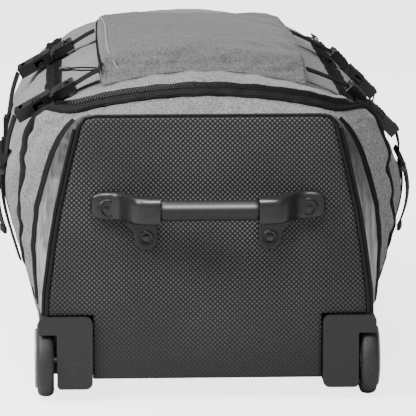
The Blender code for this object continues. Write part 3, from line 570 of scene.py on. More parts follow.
def split(mesh, keeps, settle):
    """Deletes the faces that aren't kept, and settles the new edge's points on a clean line."""
    shape = bmesh.new()
    shape.from_mesh(mesh)
    gone = []
    for face in shape.faces:
        middle = face.calc_center_median()
        if not keeps(middle.x / MM, (middle.y - NEAR_FACE) / MM, middle.z / MM):
            gone.append(face)
    bmesh.ops.delete(shape, geom=gone, context="FACES")
    for edge in shape.edges:
        if not edge.is_boundary:
            continue
        for vertex in edge.verts:
            spot = (vertex.co.x / MM, (vertex.co.y - NEAR_FACE) / MM, vertex.co.z / MM)
            vertex.co = place(*settle(*spot))
    bmesh.ops.remove_doubles(shape, verts=shape.verts, dist=0.05 * MM)
    return shape


def inside_lid(x, depth, z):
    return z > 215 and depth < SPLIT and lid_edge(x, depth)[0] < 0


NOTCH_SIDE, NOTCH_BACK, NOTCH_TOP = 115.7, 72.3, 87.3  # round each wheel housing


def inside_notch(x, depth, z):
    return abs(x) > NOTCH_SIDE and depth < NOTCH_BACK and z < NOTCH_TOP


def inside_slot(x, depth, z):
    return abs(x) < 78 and depth > 740 and 28 < z < 54


def body_settle(x, depth, z):
    if z > 215:
        if depth > SPLIT - 14 and abs(x) < 148:
            return x, SPLIT, z
        gap, way = lid_edge(x, depth)
        return x + way[0] * (0.4 - gap), depth + way[1] * (0.4 - gap), z
    if z < 100 and depth < 90:
        reach = {"x": abs(abs(x) - NOTCH_SIDE), "depth": abs(depth - NOTCH_BACK),
                 "z": abs(z - NOTCH_TOP)}
        closest = min(reach, key=reach.get)
        if closest == "x":
            return math.copysign(NOTCH_SIDE, x), depth, z
        return (x, NOTCH_BACK, z) if closest == "depth" else (x, depth, NOTCH_TOP)
    return x, depth, z


def lid_settle(x, depth, z):
    if depth > SPLIT - 14:
        return x, SPLIT, z
    gap, way = lid_edge(x, depth)
    return x - way[0] * (0.4 + gap), depth - way[1] * (0.4 + gap), z


body_cloth = split(skin.data, lambda *p: not (inside_lid(*p) or inside_notch(*p) or inside_slot(*p)),
                   body_settle)
lid_cloth = split(skin.data, inside_lid, lid_settle)
bpy.data.objects.remove(skin)
WALL = {"thickness": 3.6 * MM, "offset": -1, "material_offset": 2, "use_even_offset": False}
body = put("body_fabric", body_cloth, [HEATHER, SATIN, LINING], "bag", "heather_fabric",
           ["body_shell"])
modified(body, "SOLIDIFY", **WALL)
lid = put("lid_fabric", lid_cloth, [HEATHER, SATIN, LINING], None, "heather_fabric",
          ["lid_panel"])
modified(lid, "SOLIDIFY", **WALL)
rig.blend(lid, "bag", "lid", start=place(0, SPLIT - 1, 307), end=place(0, SPLIT - 25, 307))


# Seams: black grosgrain binding is sewn over the gusset seam and the side seam on each side.
def laid_line(points, step):
    """A line of points in mm with more points put in, about step apart."""
    line = []
    for first, second in zip(points, points[1:]):
        a, b = Vector(first), Vector(second)
        count = max(1, round((b - a).length / step))
        line += [a.lerp(b, i / count) for i in range(count)]
    return line + [Vector(points[-1])]


def band(guide, profile, ground=SKIN):
    """A band on the fabric along a guide line, from (across, lift) pairs in mm."""
    rows = [[] for _ in profile]
    for i, spot in enumerate(guide):
        way = guide[min(i + 1, len(guide) - 1)] - guide[max(i - 1, 0)]
        found, normal, *_ = ground.find_nearest(spot)
        side = normal.cross(way).normalized()
        for row, (across, lift) in zip(rows, profile):
            there, off, *_ = ground.find_nearest(found + side * across * MM)
            row.append(there + off * lift * MM)
    shape, _ = bridged(rows, closed=False)
    shape.faces.ensure_lookup_table()
    first = shape.faces[len(shape.faces) // 2]
    first.normal_update()
    if first.normal.dot(ground.find_nearest(first.calc_center_median())[1]) < 0:
        bmesh.ops.reverse_faces(shape, faces=shape.faces)
    return shape


def webbing_look(name, dark, light, pitch):
    """Woven nylon: ribs along the strap, its colour painted lighter on each rib as a painted glint and darker in the
    gaps between as painted shade.
    """
    made, tree, shader = surface(name, Roughness=0.62, Specular_IOR_Level=0.22)
    spot = node(tree, "TexCoord", {})
    ribs = node(tree, "TexWave", {"Vector": (spot, "Object"), "Scale": 0.314 / (pitch * MM),
                                  "Distortion": 0.6, "Detail": 1.0}, bands_direction="Y")
    picks = node(tree, "TexWave", {"Vector": (spot, "Object"), "Scale": 0.314 / (pitch * MM),
                                   "Distortion": 0.6, "Detail": 1.0}, bands_direction="Z")
    both = node(tree, "Math", {0: (ribs, "Fac"), 1: (picks, "Fac")}, operation="MULTIPLY")
    # Painted glint and painted shade: the colour is lighter on each rib and darker in the gaps.
    colour = node(tree, "Mix", {0: (both, "Value"), 6: linear(dark), 7: linear(light)},
                  data_type="RGBA")
    bump = node(tree, "Bump", {"Height": (both, "Value"), "Distance": 0.5 * MM})
    tree.links.new(colour.outputs[2], shader.inputs["Base Color"])
    tree.links.new(bump.outputs["Normal"], shader.inputs["Normal"])
    return made


# Ribs are 1.2 mm apart on real webbing, drawn at 2.4 mm so that they show.
WEBBING = webbing_look("woven_nylon_webbing", "#050505", "#151516", 2.4)
BINDING = webbing_look("grosgrain_binding", "#050505", "#131314", 1.8)
RAISED = ((-1.0, -0.5), (-0.8, 0.7), (0, 1.0), (0.8, 0.7), (1.0, -0.5))
for side, label in ((-1, "left"), (1, "right")):
    for seam, depth, top, wide in (("gusset_seam", GUSSET_SEAM, 13, 4.0),
                                   ("side_trim", SIDE_SEAM - 12, 13, 14)):
        half = [(side * x, z) for x, z in half_outline(depth)[2:top]]
        guide = [place(x, depth, z) for x, z in laid_line([(x, z) for x, z in half], 5)
                 if z > 90 or depth > 72]
        proud = 4.6 if seam == "side_trim" else 1.0
        profile = [(share * wide, lift * proud if lift > 0 else lift) for share, lift in RAISED]
        put(f"{seam}_{label}", band(guide, profile), BINDING, "bag", "webbing")


# Main zip: number 10 coil zip on black polyester tape. One half is sewn to the lid and one to
# the body, whose edge is bound with a folded strip, and the coils mesh between them.
ZIP_TAPE = webbing_look("polyester_zip_tape", "#050505", "#101011", 1.5)
# Extruded nylon coil: smooth and black, so each turn carries a small highlight.
COIL = finish("nylon_zip_coil", "#050505", "#0b0b0c", 1.5, 0.02, Roughness=0.4,
              Specular_IOR_Level=0.3)


def zip_plan(grow, step, end=686):
    """The zip's line in plan, from the far left, round the near end, to the far right."""
    middle, radius = (ZIP_CORNER - ZIP_SIDE, ZIP_NEAR + ZIP_CORNER), ZIP_CORNER + grow
    arc = [(middle[0] + radius * math.cos(a), middle[1] + radius * math.sin(a))
           for a in (math.radians(180 + 10 * i) for i in range(10))]
    half = [(-ZIP_SIDE - grow, end)] + arc
    return laid_line(half + [(-x, d) for x, d in reversed(half)], step)


def dropped(line):
    """Plan points put on the fabric from above."""
    return [SKIN.ray_cast(place(x, depth, 500), Vector((0, 0, -1)))[0] for x, depth in line]


main_guide = dropped(zip_plan(0, 3))
lid_half = band(main_guide, ((0.3, 0.2), (0.5, 0.9), (5.8, 0.9), (6.6, -0.6)))
put("zip_tape_lid_half", lid_half, ZIP_TAPE, "lid", "zip_tape", ["zipper_track_lid"])
body_half = band(main_guide, ((-14.0, -0.8), (-13.4, 1.6), (-11.4, 2.9), (-9.0, 2.3),
                              (-7.6, 0.8), (-0.5, 0.9), (-0.3, 0.2)))
for vertex in body_half.verts:
    beyond = lid_edge(vertex.co.x / MM, (vertex.co.y - NEAR_FACE) / MM)[0]
    if beyond > 7.4:
        vertex.co.z += 0.9 * MM * noise.noise(Vector((vertex.co.x * 55, vertex.co.y * 55, 2)))
put("zip_tape_body_half", body_half, ZIP_TAPE, "bag", "zip_tape", ["zipper_track_body"])


def coil_turns(guide, side, ground=SKIN, reach=2.0, lift=1.3):
    """One half of a zip's coil: a small rounded turn at every other point of the guide."""
    shape = bmesh.new()
    start = 0 if side > 0 else 1
    for i in range(1 + start, len(guide) - 1, 2):
        way = (guide[i + 1] - guide[i - 1]).normalized()
        found, normal, *_ = ground.find_nearest(guide[i])
        across = normal.cross(way).normalized()
        up = way.cross(across)
        turn = Matrix((way, across, up)).transposed().to_4x4()
        middle = found + across * side * 1.5 * MM + normal * lift * MM
        made = bmesh.ops.create_cube(shape, size=MM, matrix=Matrix.Translation(middle) @ turn
                                     @ Matrix.Diagonal((1.35, 2 * reach, 1.5, 1)))["verts"]
        top = [v for v in made if (v.co - middle).dot(up) > 0]
        bmesh.ops.scale(shape, verts=top, vec=(0.72, 0.72, 0.72), space=Matrix.Translation(-middle))
    return shape


coil_guide = dropped(zip_plan(0, 1.35))
put("zip_coil_lid_half", coil_turns(coil_guide, 1), COIL, "lid", "zip_tape", sharp=20)
put("zip_coil_body_half", coil_turns(coil_guide, -1), COIL, "bag", "zip_tape", sharp=20)


def tube(name, path, radius, look, body, slot=None, stands_for=(), radii=None, closed=False):
    """A round cord, wire or welt along a line of points in the frame."""
    curve = bpy.data.curves.new(name, "CURVE")
    curve.dimensions, curve.bevel_depth, curve.bevel_resolution = "3D", radius * MM, 3
    curve.use_fill_caps = True
    spline = curve.splines.new("POLY")
    spline.points.add(len(path) - 1)
    spline.use_cyclic_u = closed
    for i, spot in enumerate(path):
        spline.points[i].co = (*spot, 1)
        spline.points[i].radius = radii[i] if radii else 1
    draft = bpy.data.objects.new(name + "_draft", curve)
    bpy.context.scene.collection.objects.link(draft)
    graph = bpy.context.evaluated_depsgraph_get()
    mesh = bpy.data.meshes.new_from_object(draft.evaluated_get(graph))
    shape = bmesh.new()
    shape.from_mesh(mesh)
    bpy.data.objects.remove(draft)
    bpy.data.meshes.remove(mesh)
    bmesh.ops.remove_doubles(shape, verts=shape.verts, dist=0.001 * MM)
    return put(name, shape, look, body, slot, stands_for)


# Shoe pocket: a padded canvas box on the lid with a bound edge, in the body's heathered canvas drawn darker all over as
# painted shade. It is lofted over the lid's fabric and swelled a little by cloth simulation.
POCKET_ROWS = ((70, 103, 0.10), (76, 103.6, 0.28), (88, 104, 0.47), (106, 104.6, 0.64),
               (130, 105, 0.78), (163, 105.5, 0.88), (197.6, 106, 0.95), (226, 106, 0.985),
               (254.6, 106, 1.0), (290, 106, 0.92), (326.8, 106, 0.81), (372, 105.5, 0.65),
               (418, 105, 0.47), (460, 104.5, 0.32), (501.6, 104, 0.17), (525, 102, 0.05),
               (544, 100, -0.06))


POCKET_BASE, POCKET_RISE = 328, 26.5  # height at the pocket's foot, and how far it rises


def pocket_ring(depth, half, share):
    top = POCKET_BASE + POCKET_RISE * share
    over = [(half, top - 9), (half - 1.5, top - 3), (half - 8, top - 0.6), (half - 30, top),
            (half - 55, top), (half - 80, top)]
    over = over + [(0, top)] + [(-x, z) for x, z in reversed(over)]
    over = [(x, z - share * (0.0014 if x > 0 else 0.0003) * x * x) for x, z in over]
    rise = min(1.0, (depth - 66) / 34)
    ground = [SKIN.ray_cast(place(x, depth, 500), Vector((0, 0, -1)))[0].z / MM + 1 for x, z in over]
    over = [(x, g + (z - g) * rise) for (x, z), g in zip(over, ground)]
    under = []
    for x in [-half - 0.5] + [-x for x, z in over[1:6]] + [0] + [x for x, z in over[5:0:-1]] + [half + 0.5]:
        under.append((x, (SKIN.ray_cast(place(x, depth, 500), Vector((0, 0, -1)))[0].z / MM) - 1.5))
    side = [(half + 0.3, (over[0][1] + under[-1][1]) / 2)]
    left = [(-half - 0.3, (over[-1][1] + under[0][1]) / 2)]
    return [place(x, depth, z) for x, z in over + left + under + side]


shape, loops = bridged([pocket_ring(*row) for row in POCKET_ROWS])
for end in (0, -1):
    bmesh.ops.contextual_create(shape, geom=loops[end])
bmesh.ops.recalc_face_normals(shape, faces=shape.faces)
crease = shape.edges.layers.float["crease_edge"]
for edge in loops[0] + loops[-1]:
    edge[crease] = 0.75
pocket = put("shoe_pocket_fabric", shape, [POCKET_SHADED_HEATHER], "lid", "heather_fabric", ["shoe_pocket"])
modified(pocket, "SUBSURF", levels=2, render_levels=2)
held = []
for co in points_of(pocket.data):
    x, depth, z = co[0] / MM, (co[1] - NEAR_FACE) / MM, co[2] / MM
    ground = SKIN.ray_cast(place(x, depth, 500), Vector((0, 0, -1)))[0].z / MM
    held.append(max(0.0, 1 - max(0, z - ground) / 7, 1 - abs(depth - 70) / 6, 1 - abs(abs(x) - 105) / 5))
stuffed(pocket, held, 2.2, 0.04, 4)
modified(pocket, "SUBSURF", levels=1, render_levels=1)


def pocket_folds(co):
    """Creases that run across the pocket, strongest on its near slope."""
    x, depth, z = co.x / MM, (co.y - NEAR_FACE) / MM, co.z / MM
    cross = noise.noise(Vector((x / 85, depth / 13, z / 9)))
    sharp = -abs(noise.noise(Vector((x / 120, depth / 17 + x / 200, z / 12 + 7))))
    small = noise.fractal(Vector((x / 26, depth / 24, z / 24)), 0.8, 2.1, 2)
    fade = min(1.0, max(0, depth - 72) / 10) * min(1.0, max(0, 107 - abs(x)) / 8)
    near = 1.5 - min(1.0, depth / 220)
    return fade * (near * (1.2 * cross + 2.4 * sharp) + 0.8 * small)


reshaped([v.co + v.normal * MM * pocket_folds(v.co) for v in pocket.data.vertices], pocket)
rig.padded(pocket, fill=0.5)
pocket_shape = bmesh.new()
pocket_shape.from_mesh(pocket.data)
POCKET = BVHTree.FromBMesh(pocket_shape)
pocket_shape.free()

# Bound edges of the pocket: folded canvas strips along its left side and its near end.
EDGE = canvas("bound_canvas_edge", "#626362", "#8a8b8a")
corner = []
for depth in range(74, 520, 6):
    half, share = (np.interp(depth, [r[0] for r in POCKET_ROWS], [r[k] for r in POCKET_ROWS])
                   for k in (1, 2))
    aim = place(-(half + 40), depth, 328 + 30 * share + 28)
    corner.append(POCKET.ray_cast(aim, Vector((1, 0, -0.75)))[0] or corner[-1])
smooth = [Vector((0, 0, 0.7 * MM)) + sum(corner[max(0, i - 3):i + 4], Vector())
          / len(corner[max(0, i - 3):i + 4]) for i in range(len(corner))]
tube("pocket_edge_left", smooth, 1.1, EDGE, "lid", "heather_fabric")
base = [(-104, 69.5), (104, 69.5)]
put("pocket_base_seam", band(dropped(laid_line(base, 5)),
                             ((-1.3, -0.3), (-0.8, 0.7), (0.8, 0.7), (1.3, -0.3))),
    EDGE, "lid", "heather_fabric")
left_wall = [place(-107, d, 328 + 35 * share * 0.1 - 3) for d, half, share in POCKET_ROWS[2:-1]]
wall_guide = [Vector(p) * MM for p in laid_line([tuple(p / MM) for p in left_wall], 2.7)]
put("pocket_zip_tape", band(wall_guide, ((-4.2, -0.3), (-4.0, 0.6), (4.0, 0.6), (4.2, -0.3)), POCKET),
    ZIP_TAPE, "lid", "zip_tape")
coils = coil_turns(wall_guide, 1, POCKET, 1.3, 1.0)
put("pocket_zip_coil", coils, COIL, "lid", "zip_tape", sharp=20)


# End panel: fabric-faced laminate embossed in a fine diamond pattern, over a plastic board.
# Its edge is rolled over two runs of piping.
LAMINATE, tree, shader = surface("embossed_fabric_laminate", Roughness=0.55,
                                 Specular_IOR_Level=0.3)
spot = node(tree, "TexCoord", {})
# The emboss is a diamond grid 5 mm across, turned a half right angle to make a square one.
grid = node(tree, "Mapping", {"Vector": (spot, "Object"), "Rotation": (-math.pi / 2, 0, math.pi / 4),
                              "Scale": (1, 1, 1)})
cells = node(tree, "TexVoronoi", {"Vector": (grid, "Vector"), "Scale": 1 / (3.5 * MM),
                                  "Randomness": 0.0}, voronoi_dimensions="2D")
dots = node(tree, "MapRange", {"Value": (cells, "Distance"), "From Min": 0.18, "From Max": 0.42,
                               "To Min": 1.0, "To Max": 0.0})
split_up = node(tree, "SeparateXYZ", {"Vector": (spot, "Object")})
lower = node(tree, "MapRange", {"Value": (split_up, "Z"), "From Min": 0.035, "From Max": 0.12,
                                "To Min": 0.1, "To Max": 1.0})
shown = node(tree, "Math", {0: (dots, "Result"), 1: (lower, "Result")}, operation="MULTIPLY")
clouds = node(tree, "TexNoise", {"Vector": (spot, "Object"), "Scale": 1 / (111 * MM), "Detail": 3.0})
worn = node(tree, "Math", {0: (clouds, "Fac"), 1: (shown, "Value")}, operation="MULTIPLY")
ground = node(tree, "Mix", {0: (lower, "Result"), 6: linear("#282929"), 7: linear("#141515")},
              data_type="RGBA")
toned = node(tree, "Mix", {0: (worn, "Value"), 6: (ground, 2), 7: linear("#787979")},
             data_type="RGBA")
bump = node(tree, "Bump", {"Height": (dots, "Result"), "Distance": 0.3 * MM})
tree.links.new(toned.outputs[2], shader.inputs["Base Color"])
tree.links.new(bump.outputs["Normal"], shader.inputs["Normal"])

half = [(0, 22.5), (115.2, 22.5), (115.2, 87.8), (161, 87.8)]
half += [tuple(p) for p in half_outline(6.3)[5:]]
outline = half + [(-x, z) for x, z in half[-2:0:-1]]
shape = bmesh.new()
front = shape.faces.new([shape.verts.new(place(x, 2.4, z)) for x, z in outline])
walls = bmesh.ops.extrude_face_region(shape, geom=[front])["geom"]
front_verts = [v for v in walls if isinstance(v, bmesh.types.BMVert)]
bmesh.ops.translate(shape, verts=[v for v in shape.verts if v not in front_verts], vec=(0, 3.6 * MM, 0))
bmesh.ops.recalc_face_normals(shape, faces=shape.faces)
front = [f for f in shape.faces if f.normal.y < -0.9]
bmesh.ops.inset_region(shape, faces=front, thickness=2.0 * MM, depth=1.3 * MM)
bmesh.ops.inset_region(shape, faces=front, thickness=3.5 * MM, depth=0.6 * MM)
put("end_panel_laminate", shape, LAMINATE, "bag", "panel_laminate", ["end_panel"], sharp=60)


# Piping: PVC cord in black tape, two runs side by side between the panel and the gusset.
PIPING = finish("pvc_piping", "#070707", "#0f0f10", 3, 0.05, Roughness=0.42, Specular_IOR_Level=0.3)


def outline_run(depth, grow, low):
    """The panel's outline from one housing round the top to the other, moved outwards."""
    half = [Vector(p) for p in half_outline(6.3)[4:]]
    line = []
    for i, p in enumerate(half):
        way = half[min(i + 1, len(half) - 1)] - half[i - 1 if i else 0]
        out = Vector((way.y, -way.x)).normalized()
        line.append(p + out * grow)
    line = [p for p in line if p.y > low]
    line = [Vector((line[0].x + 0.8, low))] + line
    whole = line + [Vector((-p.x, p.y)) for p in reversed(line[:-1])]
    return [place(p.x, depth, p.y) for p in laid_line([tuple(p) for p in whole], 5)]


run = outline_run(2.2, 1.6, 88)
radii = [0.6 if p.z > place(0, 0, 287).z else 1.0 for p in run]
tube("piping_inner", run, 2.2, PIPING, "bag", "webbing", radii=radii)
for side, label in ((-1, "left"), (1, "right")):
    run = [p for p in outline_run(4.0, 5.2, 88) if side * p.x > 0.112 and p.z < 0.281]
    tube("piping_outer_" + label, run, 2.2, PIPING, "bag", "webbing")


# Grab handle: two injection-moulded nylon brackets screwed through the end panel, a steel rod
# between them, and a rubber grip sleeve on the rod.
NYLON = finish("glass_filled_nylon", "#0b0c0c", "#141515", 1.6, 0.05, Roughness=0.36,
               Specular_IOR_Level=0.5)
GRIP_RUBBER = finish("satin_tpr_grip", "#0b0c0c", "#111212", 2.0, 0.02, Roughness=0.42,
                     Specular_IOR_Level=0.4)
# Zinc-plated steel: bright, faintly streaked.
ZINC = finish("zinc_plated_steel", "#8f9191", "#b8baba", 1.5, 0.02, Metallic=1.0, Roughness=0.32)
# Black-passivated screws.
BLACK_ZINC = finish("black_zinc_steel", "#3a3b3b", "#4a4b4b", 1.5, 0.02, Metallic=1.0, Roughness=0.35)
HANDLE_Z = 201
BRACKET_ROWS = (  # x, near face's depth, back's depth, half height
    (117.5, -3.0, -0.4, 4.0), (116.8, -7.0, -0.4, 8.0), (114.2, -9.4, -0.4, 11.2),
    (109, -10.6, -0.4, 13.4), (101, -11.2, -0.4, 14.0), (94, -12.5, -0.4, 14.0),
    (88, -18, -0.4, 13.9), (82.5, -30, -3.0, 13.8), (77, -41, -12, 13.8), (72, -46.5, -19.5, 13.7),
    (66, -48.9, -24.4, 13.6), (58, -49.6, -26.4, 13.6), (48.9, -49.6, -26.4, 13.6))


def rounded(x, near, back, half, power=5.0, sides=24):
    """A rounded-rectangle ring across the handle."""
    points = []
    for i in range(sides):
        a = 2 * math.pi * i / sides
        c, s = math.cos(a), math.sin(a)
        out = (abs(c) ** power + abs(s) ** power) ** (-1 / power)
        points.append(place(x, (near + back) / 2 + (back - near) / 2 * out * c,
                            HANDLE_Z + half * out * s))
    return points


def spun(profile, centre, axis, steps=48, closed=False, into=None):
    """A profile of (radius, along) points, in mm, turned about an axis through the centre."""
    shape = into or bmesh.new()
    way = Vector([a == axis for a in "XYZ"])
    up = Vector((0, 0, 1)) if axis != "Z" else Vector((1, 0, 0))
    verts = [shape.verts.new(centre + way * along * MM + up * radius * MM)
             for radius, along in profile]
    edges = [shape.edges.new((verts[i - 1], verts[i])) for i in range(0 if closed else 1, len(verts))]
    made = bmesh.ops.spin(shape, geom=verts + edges, cent=centre, axis=way, angle=2 * math.pi,
                          steps=steps, use_merge=True)
    bmesh.ops.remove_doubles(shape, verts=shape.verts, dist=0.001 * MM)
    bmesh.ops.recalc_face_normals(shape, faces=shape.faces)
    return shape


for side, label in ((-1, "left"), (1, "right")):
    shape, loops = bridged([[Vector((side * p.x, p.y, p.z)) for p in rounded(*row)]
                            for row in BRACKET_ROWS])
    for end in (0, -1):
        cap = bmesh.ops.contextual_create(shape, geom=loops[end])["faces"]
        bmesh.ops.inset_region(shape, faces=cap, thickness=1.0 * MM)
    crease = shape.edges.layers.float["crease_edge"]
    for edge in loops[-1]:
        edge[crease] = 0.8
    bmesh.ops.recalc_face_normals(shape, faces=shape.faces)
    arm = put("handle_bracket_arm_" + label, shape, NYLON, "bag", "black_nylon",
              ["handle_bracket_" + label])
    modified(arm, "SUBSURF", levels=2, render_levels=2)

    # The lower ear: a teardrop plate with a raised rim round its screw.
    drop = []
    for i in range(25):
        a = math.radians(180 + 180 * i / 24)
        drop.append((62 + 11.5 * math.cos(a), 167 + 11.5 * math.sin(a)))
    drop += [(74.6, 172), (77.5, 178), (82, 183), (90, 187.5), (88, 191), (51, 191), (50.3, 178)]
    shape = bmesh.new()
    face = shape.faces.new([shape.verts.new(place(side * x, -0.4, z)) for x, z in drop])
    pulled = bmesh.ops.extrude_face_region(shape, geom=[face])["geom"]
    pulled = [v for v in pulled if isinstance(v, bmesh.types.BMVert)]
    bmesh.ops.translate(shape, verts=pulled, vec=(0, -5.0 * MM, 0))
    bmesh.ops.recalc_face_normals(shape, faces=shape.faces)
    ear = put("handle_bracket_ear_" + label, shape, NYLON, "bag", "black_nylon")
    modified(ear, "BEVEL", width=1.6 * MM, segments=3, limit_method="ANGLE")
    for name, x, z, depth, size in (("upper", 100, 198.5, -11.0, 1.15), ("lower", 62, 168, -5.4, 0.9)):
        profile = [(5.2 * size, 0.6), (5.2 * size, -0.9), (6.0 * size, -1.4), (7.6 * size, -1.3),
                   (8.6 * size, -0.4), (8.8 * size, 0.8)]
        put(f"screw_boss_{name}_{label}", spun(profile, place(side * x, depth, z), "Y", 40),
            NYLON, "bag", "black_nylon")
        head = [(0, -0.6), (2.2, -0.8), (4.0, -0.2), (4.4, 0.5), (4.4, 1.6), (0, 1.6)]
        shape = spun(head, place(side * x, depth, z), "Y", 32)
        put(f"pan_screw_{name}_{label}", shape, BLACK_ZINC, "bag", "steel",
            [f"handle_screw_{name}_{label}"])
profile = [(4.4, -48.5), (9.7, -48.5), (10.4, -47.4), (10.5, -44), (10.35, -20), (10.3, 0),
           (10.35, 20), (10.5, 44), (10.4, 47.4), (9.7, 48.5), (4.4, 48.5)]
put("grip_sleeve", spun(profile, place(0, -38, HANDLE_Z), "X", 64), GRIP_RUBBER, "bag",
    "grip_rubber", ["handle_grip"])
# A small strip light close over the handle, which lights only the handle.
near_handle = bpy.data.collections.new("lit_by_handle_strip")
for name in ("grip_sleeve", "handle_bracket_arm_left", "handle_bracket_arm_right"):
    near_handle.objects.link(bpy.data.objects[name])
lamp = bpy.data.lights.new("handle_strip", "AREA")
lamp.shape, lamp.size, lamp.size_y, lamp.energy = "RECTANGLE", 0.7, 0.2, 24
light = bpy.data.objects.new("handle_strip", lamp)
light.location = place(0, -38, HANDLE_Z) + Vector((0, -0.5, 0.75))
light.rotation_euler = Vector((0, 0.5, -0.75)).to_track_quat("-Z", "Y").to_euler()
light.light_linking.receiver_collection = near_handle
bpy.context.scene.collection.objects.link(light)


# Moulded pieces that keep the shape of the frame: their edges are rounded, as the mould's are.
def softened(name, look, slot, edge, segments=3, corners=()):
    source = frame["nodes"][name]
    shape = bmesh.new()
    shape.from_mesh(source.data)
    bmesh.ops.remove_doubles(shape, verts=shape.verts, dist=0.01 * MM)
    bmesh.ops.dissolve_limit(shape, angle_limit=math.radians(1), verts=shape.verts,
                             edges=shape.edges)
    for across, height, radius in corners:
        rounding = [e for e in shape.edges
                    if all(abs(abs(v.co.x) / MM - across) < 0.7 and abs(v.co.z / MM - height) < 0.7
                           for v in e.verts)]
        bmesh.ops.bevel(shape, geom=rounding, offset=radius * MM, offset_type="OFFSET",
                        segments=5, profile=0.5, affect="EDGES", material=-1)
    made = put(name + "_piece", shape, look, source["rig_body"], slot, [name])
    return modified(made, "BEVEL", width=edge * MM, segments=segments, limit_method="ANGLE",
                    angle_limit=math.radians(30), harden_normals=True)


# ABS: fine spark-eroded grain, dark grey, with a soft sheen along its rounded edges.
ABS = finish("grained_abs", "#222323", "#2a2b2b", 1.2, 0.06, Roughness=0.5, Specular_IOR_Level=0.4)
ACETAL = finish("acetal_buckle", "#060607", "#0c0c0d", 2.5, 0.03, Roughness=0.26,
                Specular_IOR_Level=0.6)
TYRE = finish("tpu_tyre", "#1f2020", "#2b2c2c", 1.4, 0.12, Roughness=0.6)
CORE = finish("silver_grey_abs", "#7d7f80", "#9a9c9d", 2.0, 0.04, Roughness=0.4)
TUBE = finish("anodised_aluminium", "#8b8d8f", "#a5a7a9", 1.0, 0.02, (1, 0.03, 1), Metallic=1.0,
              Roughness=0.34)
FOOT = finish("moulded_rubber", "#202121", "#303131", 1.6, 0.12, Roughness=0.72)
FOAM = finish("crosslinked_pe_foam", "#2c2d30", "#4b4d51", 2.0, 0.5, Roughness=0.95)
BOARD = finish("hdpe_board", "#1f2021", "#2c2d2e", 4.0, 0.1, Roughness=0.5)
BUTTON = finish("grey_abs_button", "#8c8e8f", "#a0a2a3", 2.0, 0.03, Roughness=0.4)
for side in ("left", "right"):
    softened("wheel_housing_" + side, ABS, "housing_plastic", 2.0, 4,
             ((116, 87, 7), (116, 13, 7), (170, 87, 6), (152, 13, 4)))
    softened("foot_" + side, FOOT, "foot_rubber", 2.0)
    softened("skid_rail_" + side, NYLON, "black_nylon", 1.0)
    for name, look, slot in (("axle_", ZINC, "steel"), ("wheel_bearing_", ZINC, "steel"),
                             ("trolley_outer_tube_", TUBE, "aluminium"),
                             ("trolley_inner_tube_", TUBE, "aluminium")):
        softened(name + side, look, slot, 0.4, 2)
softened("handle_rod", ZINC, "steel", 0.6, 2)
softened("trolley_bezel", NYLON, "black_nylon", 1.5)
softened("trolley_grip", NYLON, "black_nylon", 3.0, 4)
softened("trolley_button", BUTTON, "grey_button", 1.0)
softened("back_board", BOARD, "board", 1.0)
softened("ball_cradle", FOAM, "foam", 3.0)
softened("pocket_slider", ACETAL, "black_nylon", 0.4, 2)
softened("carry_handle", WEBBING, "webbing", 1.2)
# The pocket's puller: a loop of braided cord with its two ends moulded into a bead.
cord = [place(-109.5 - x, 88, 326 + z) for x, z in ((26, 0.8), (16, 1.5), (6, 1.3), (1, 0.9), (0, 0),
                                                    (1, -0.9), (6, -1.3), (16, -1.5), (26, -0.8))]
tube("pocket_puller_cord", cord, 0.8, WEBBING, "pocket_puller", "cord", ["pocket_puller"])
bead = [(0, -12), (1.7, -12), (2.4, -10.8), (2.5, -4), (2.1, -1.0), (1.5, 1.6), (0, 1.6)]
put("pocket_puller_bead", spun(bead, place(-135.5, 88, 326), "X", 24), ACETAL, "pocket_puller",
    "black_nylon")
for side in ("front", "rear"):
    softened("zipper_slider_" + side, ZINC, "black_nylon", 0.4, 2)
    softened("zipper_puller_" + side, ACETAL, "black_nylon", 0.6, 2)


def block(shape, where, size, edge):
    """Adds a cuboid with rounded edges."""
    made = bmesh.ops.create_cube(shape, size=MM, matrix=where @ Matrix.Diagonal((*size, 1)))
    bmesh.ops.bevel(shape, geom=list({e for v in made["verts"] for e in v.link_edges}),
                    offset=edge * MM, offset_type="OFFSET", segments=2, profile=0.5,
                    affect="EDGES", material=-1)


# Wheels: a spoked core of silver-grey plastic with a moulded-on tyre.
for side, label in ((-1, "left"), (1, "right")):
    hub = place(side * 163.5, 28, 39)
    flat = [(29.3, -8.4), (33.4, -8.5), (35.8, -7.8), (37.6, -6.2), (38.7, -3.6), (39.0, -1.2),
            (39.0, 1.2), (38.7, 3.6), (37.6, 6.2), (35.8, 7.8), (33.4, 8.5), (29.3, 8.4)]
    put("tyre_ring_" + label, spun(flat, hub, "X", 72, closed=True), TYRE, "wheel_" + label,
        "tyre_rubber", ["tyre_" + label])
    rim = [(24.5, -7), (25.2, -8), (29.2, -8), (29.2, 8.0), (30.6, 9.2), (29.8, 10.6), (27.4, 11.0),
           (25.2, 10.2), (24.5, 9)]
    shape = spun([(r, side * x) for r, x in rim], hub, "X", 72, closed=True)
    boss = [(0, 11.4), (6.5, 11.2), (9.0, 10.2), (9.6, 2.0), (11.3, 1.0), (11.3, -8.3), (0, -8.3)]
    spun([(r, side * x) for r, x in boss], hub, "X", 48, into=shape)
    for i in range(6):
        turn = Matrix.Translation(hub) @ Matrix.Rotation(math.radians(60 * i + 12), 4, "X")
        arm = turn @ Matrix.Translation((side * 2.6 * MM, 0, 18 * MM))
        block(shape, arm, (12, 6.4, 17), 1.2)
    put("wheel_spokes_" + label, shape, CORE, "wheel_" + label, "wheel_core_plastic",
        ["wheel_core_" + label])


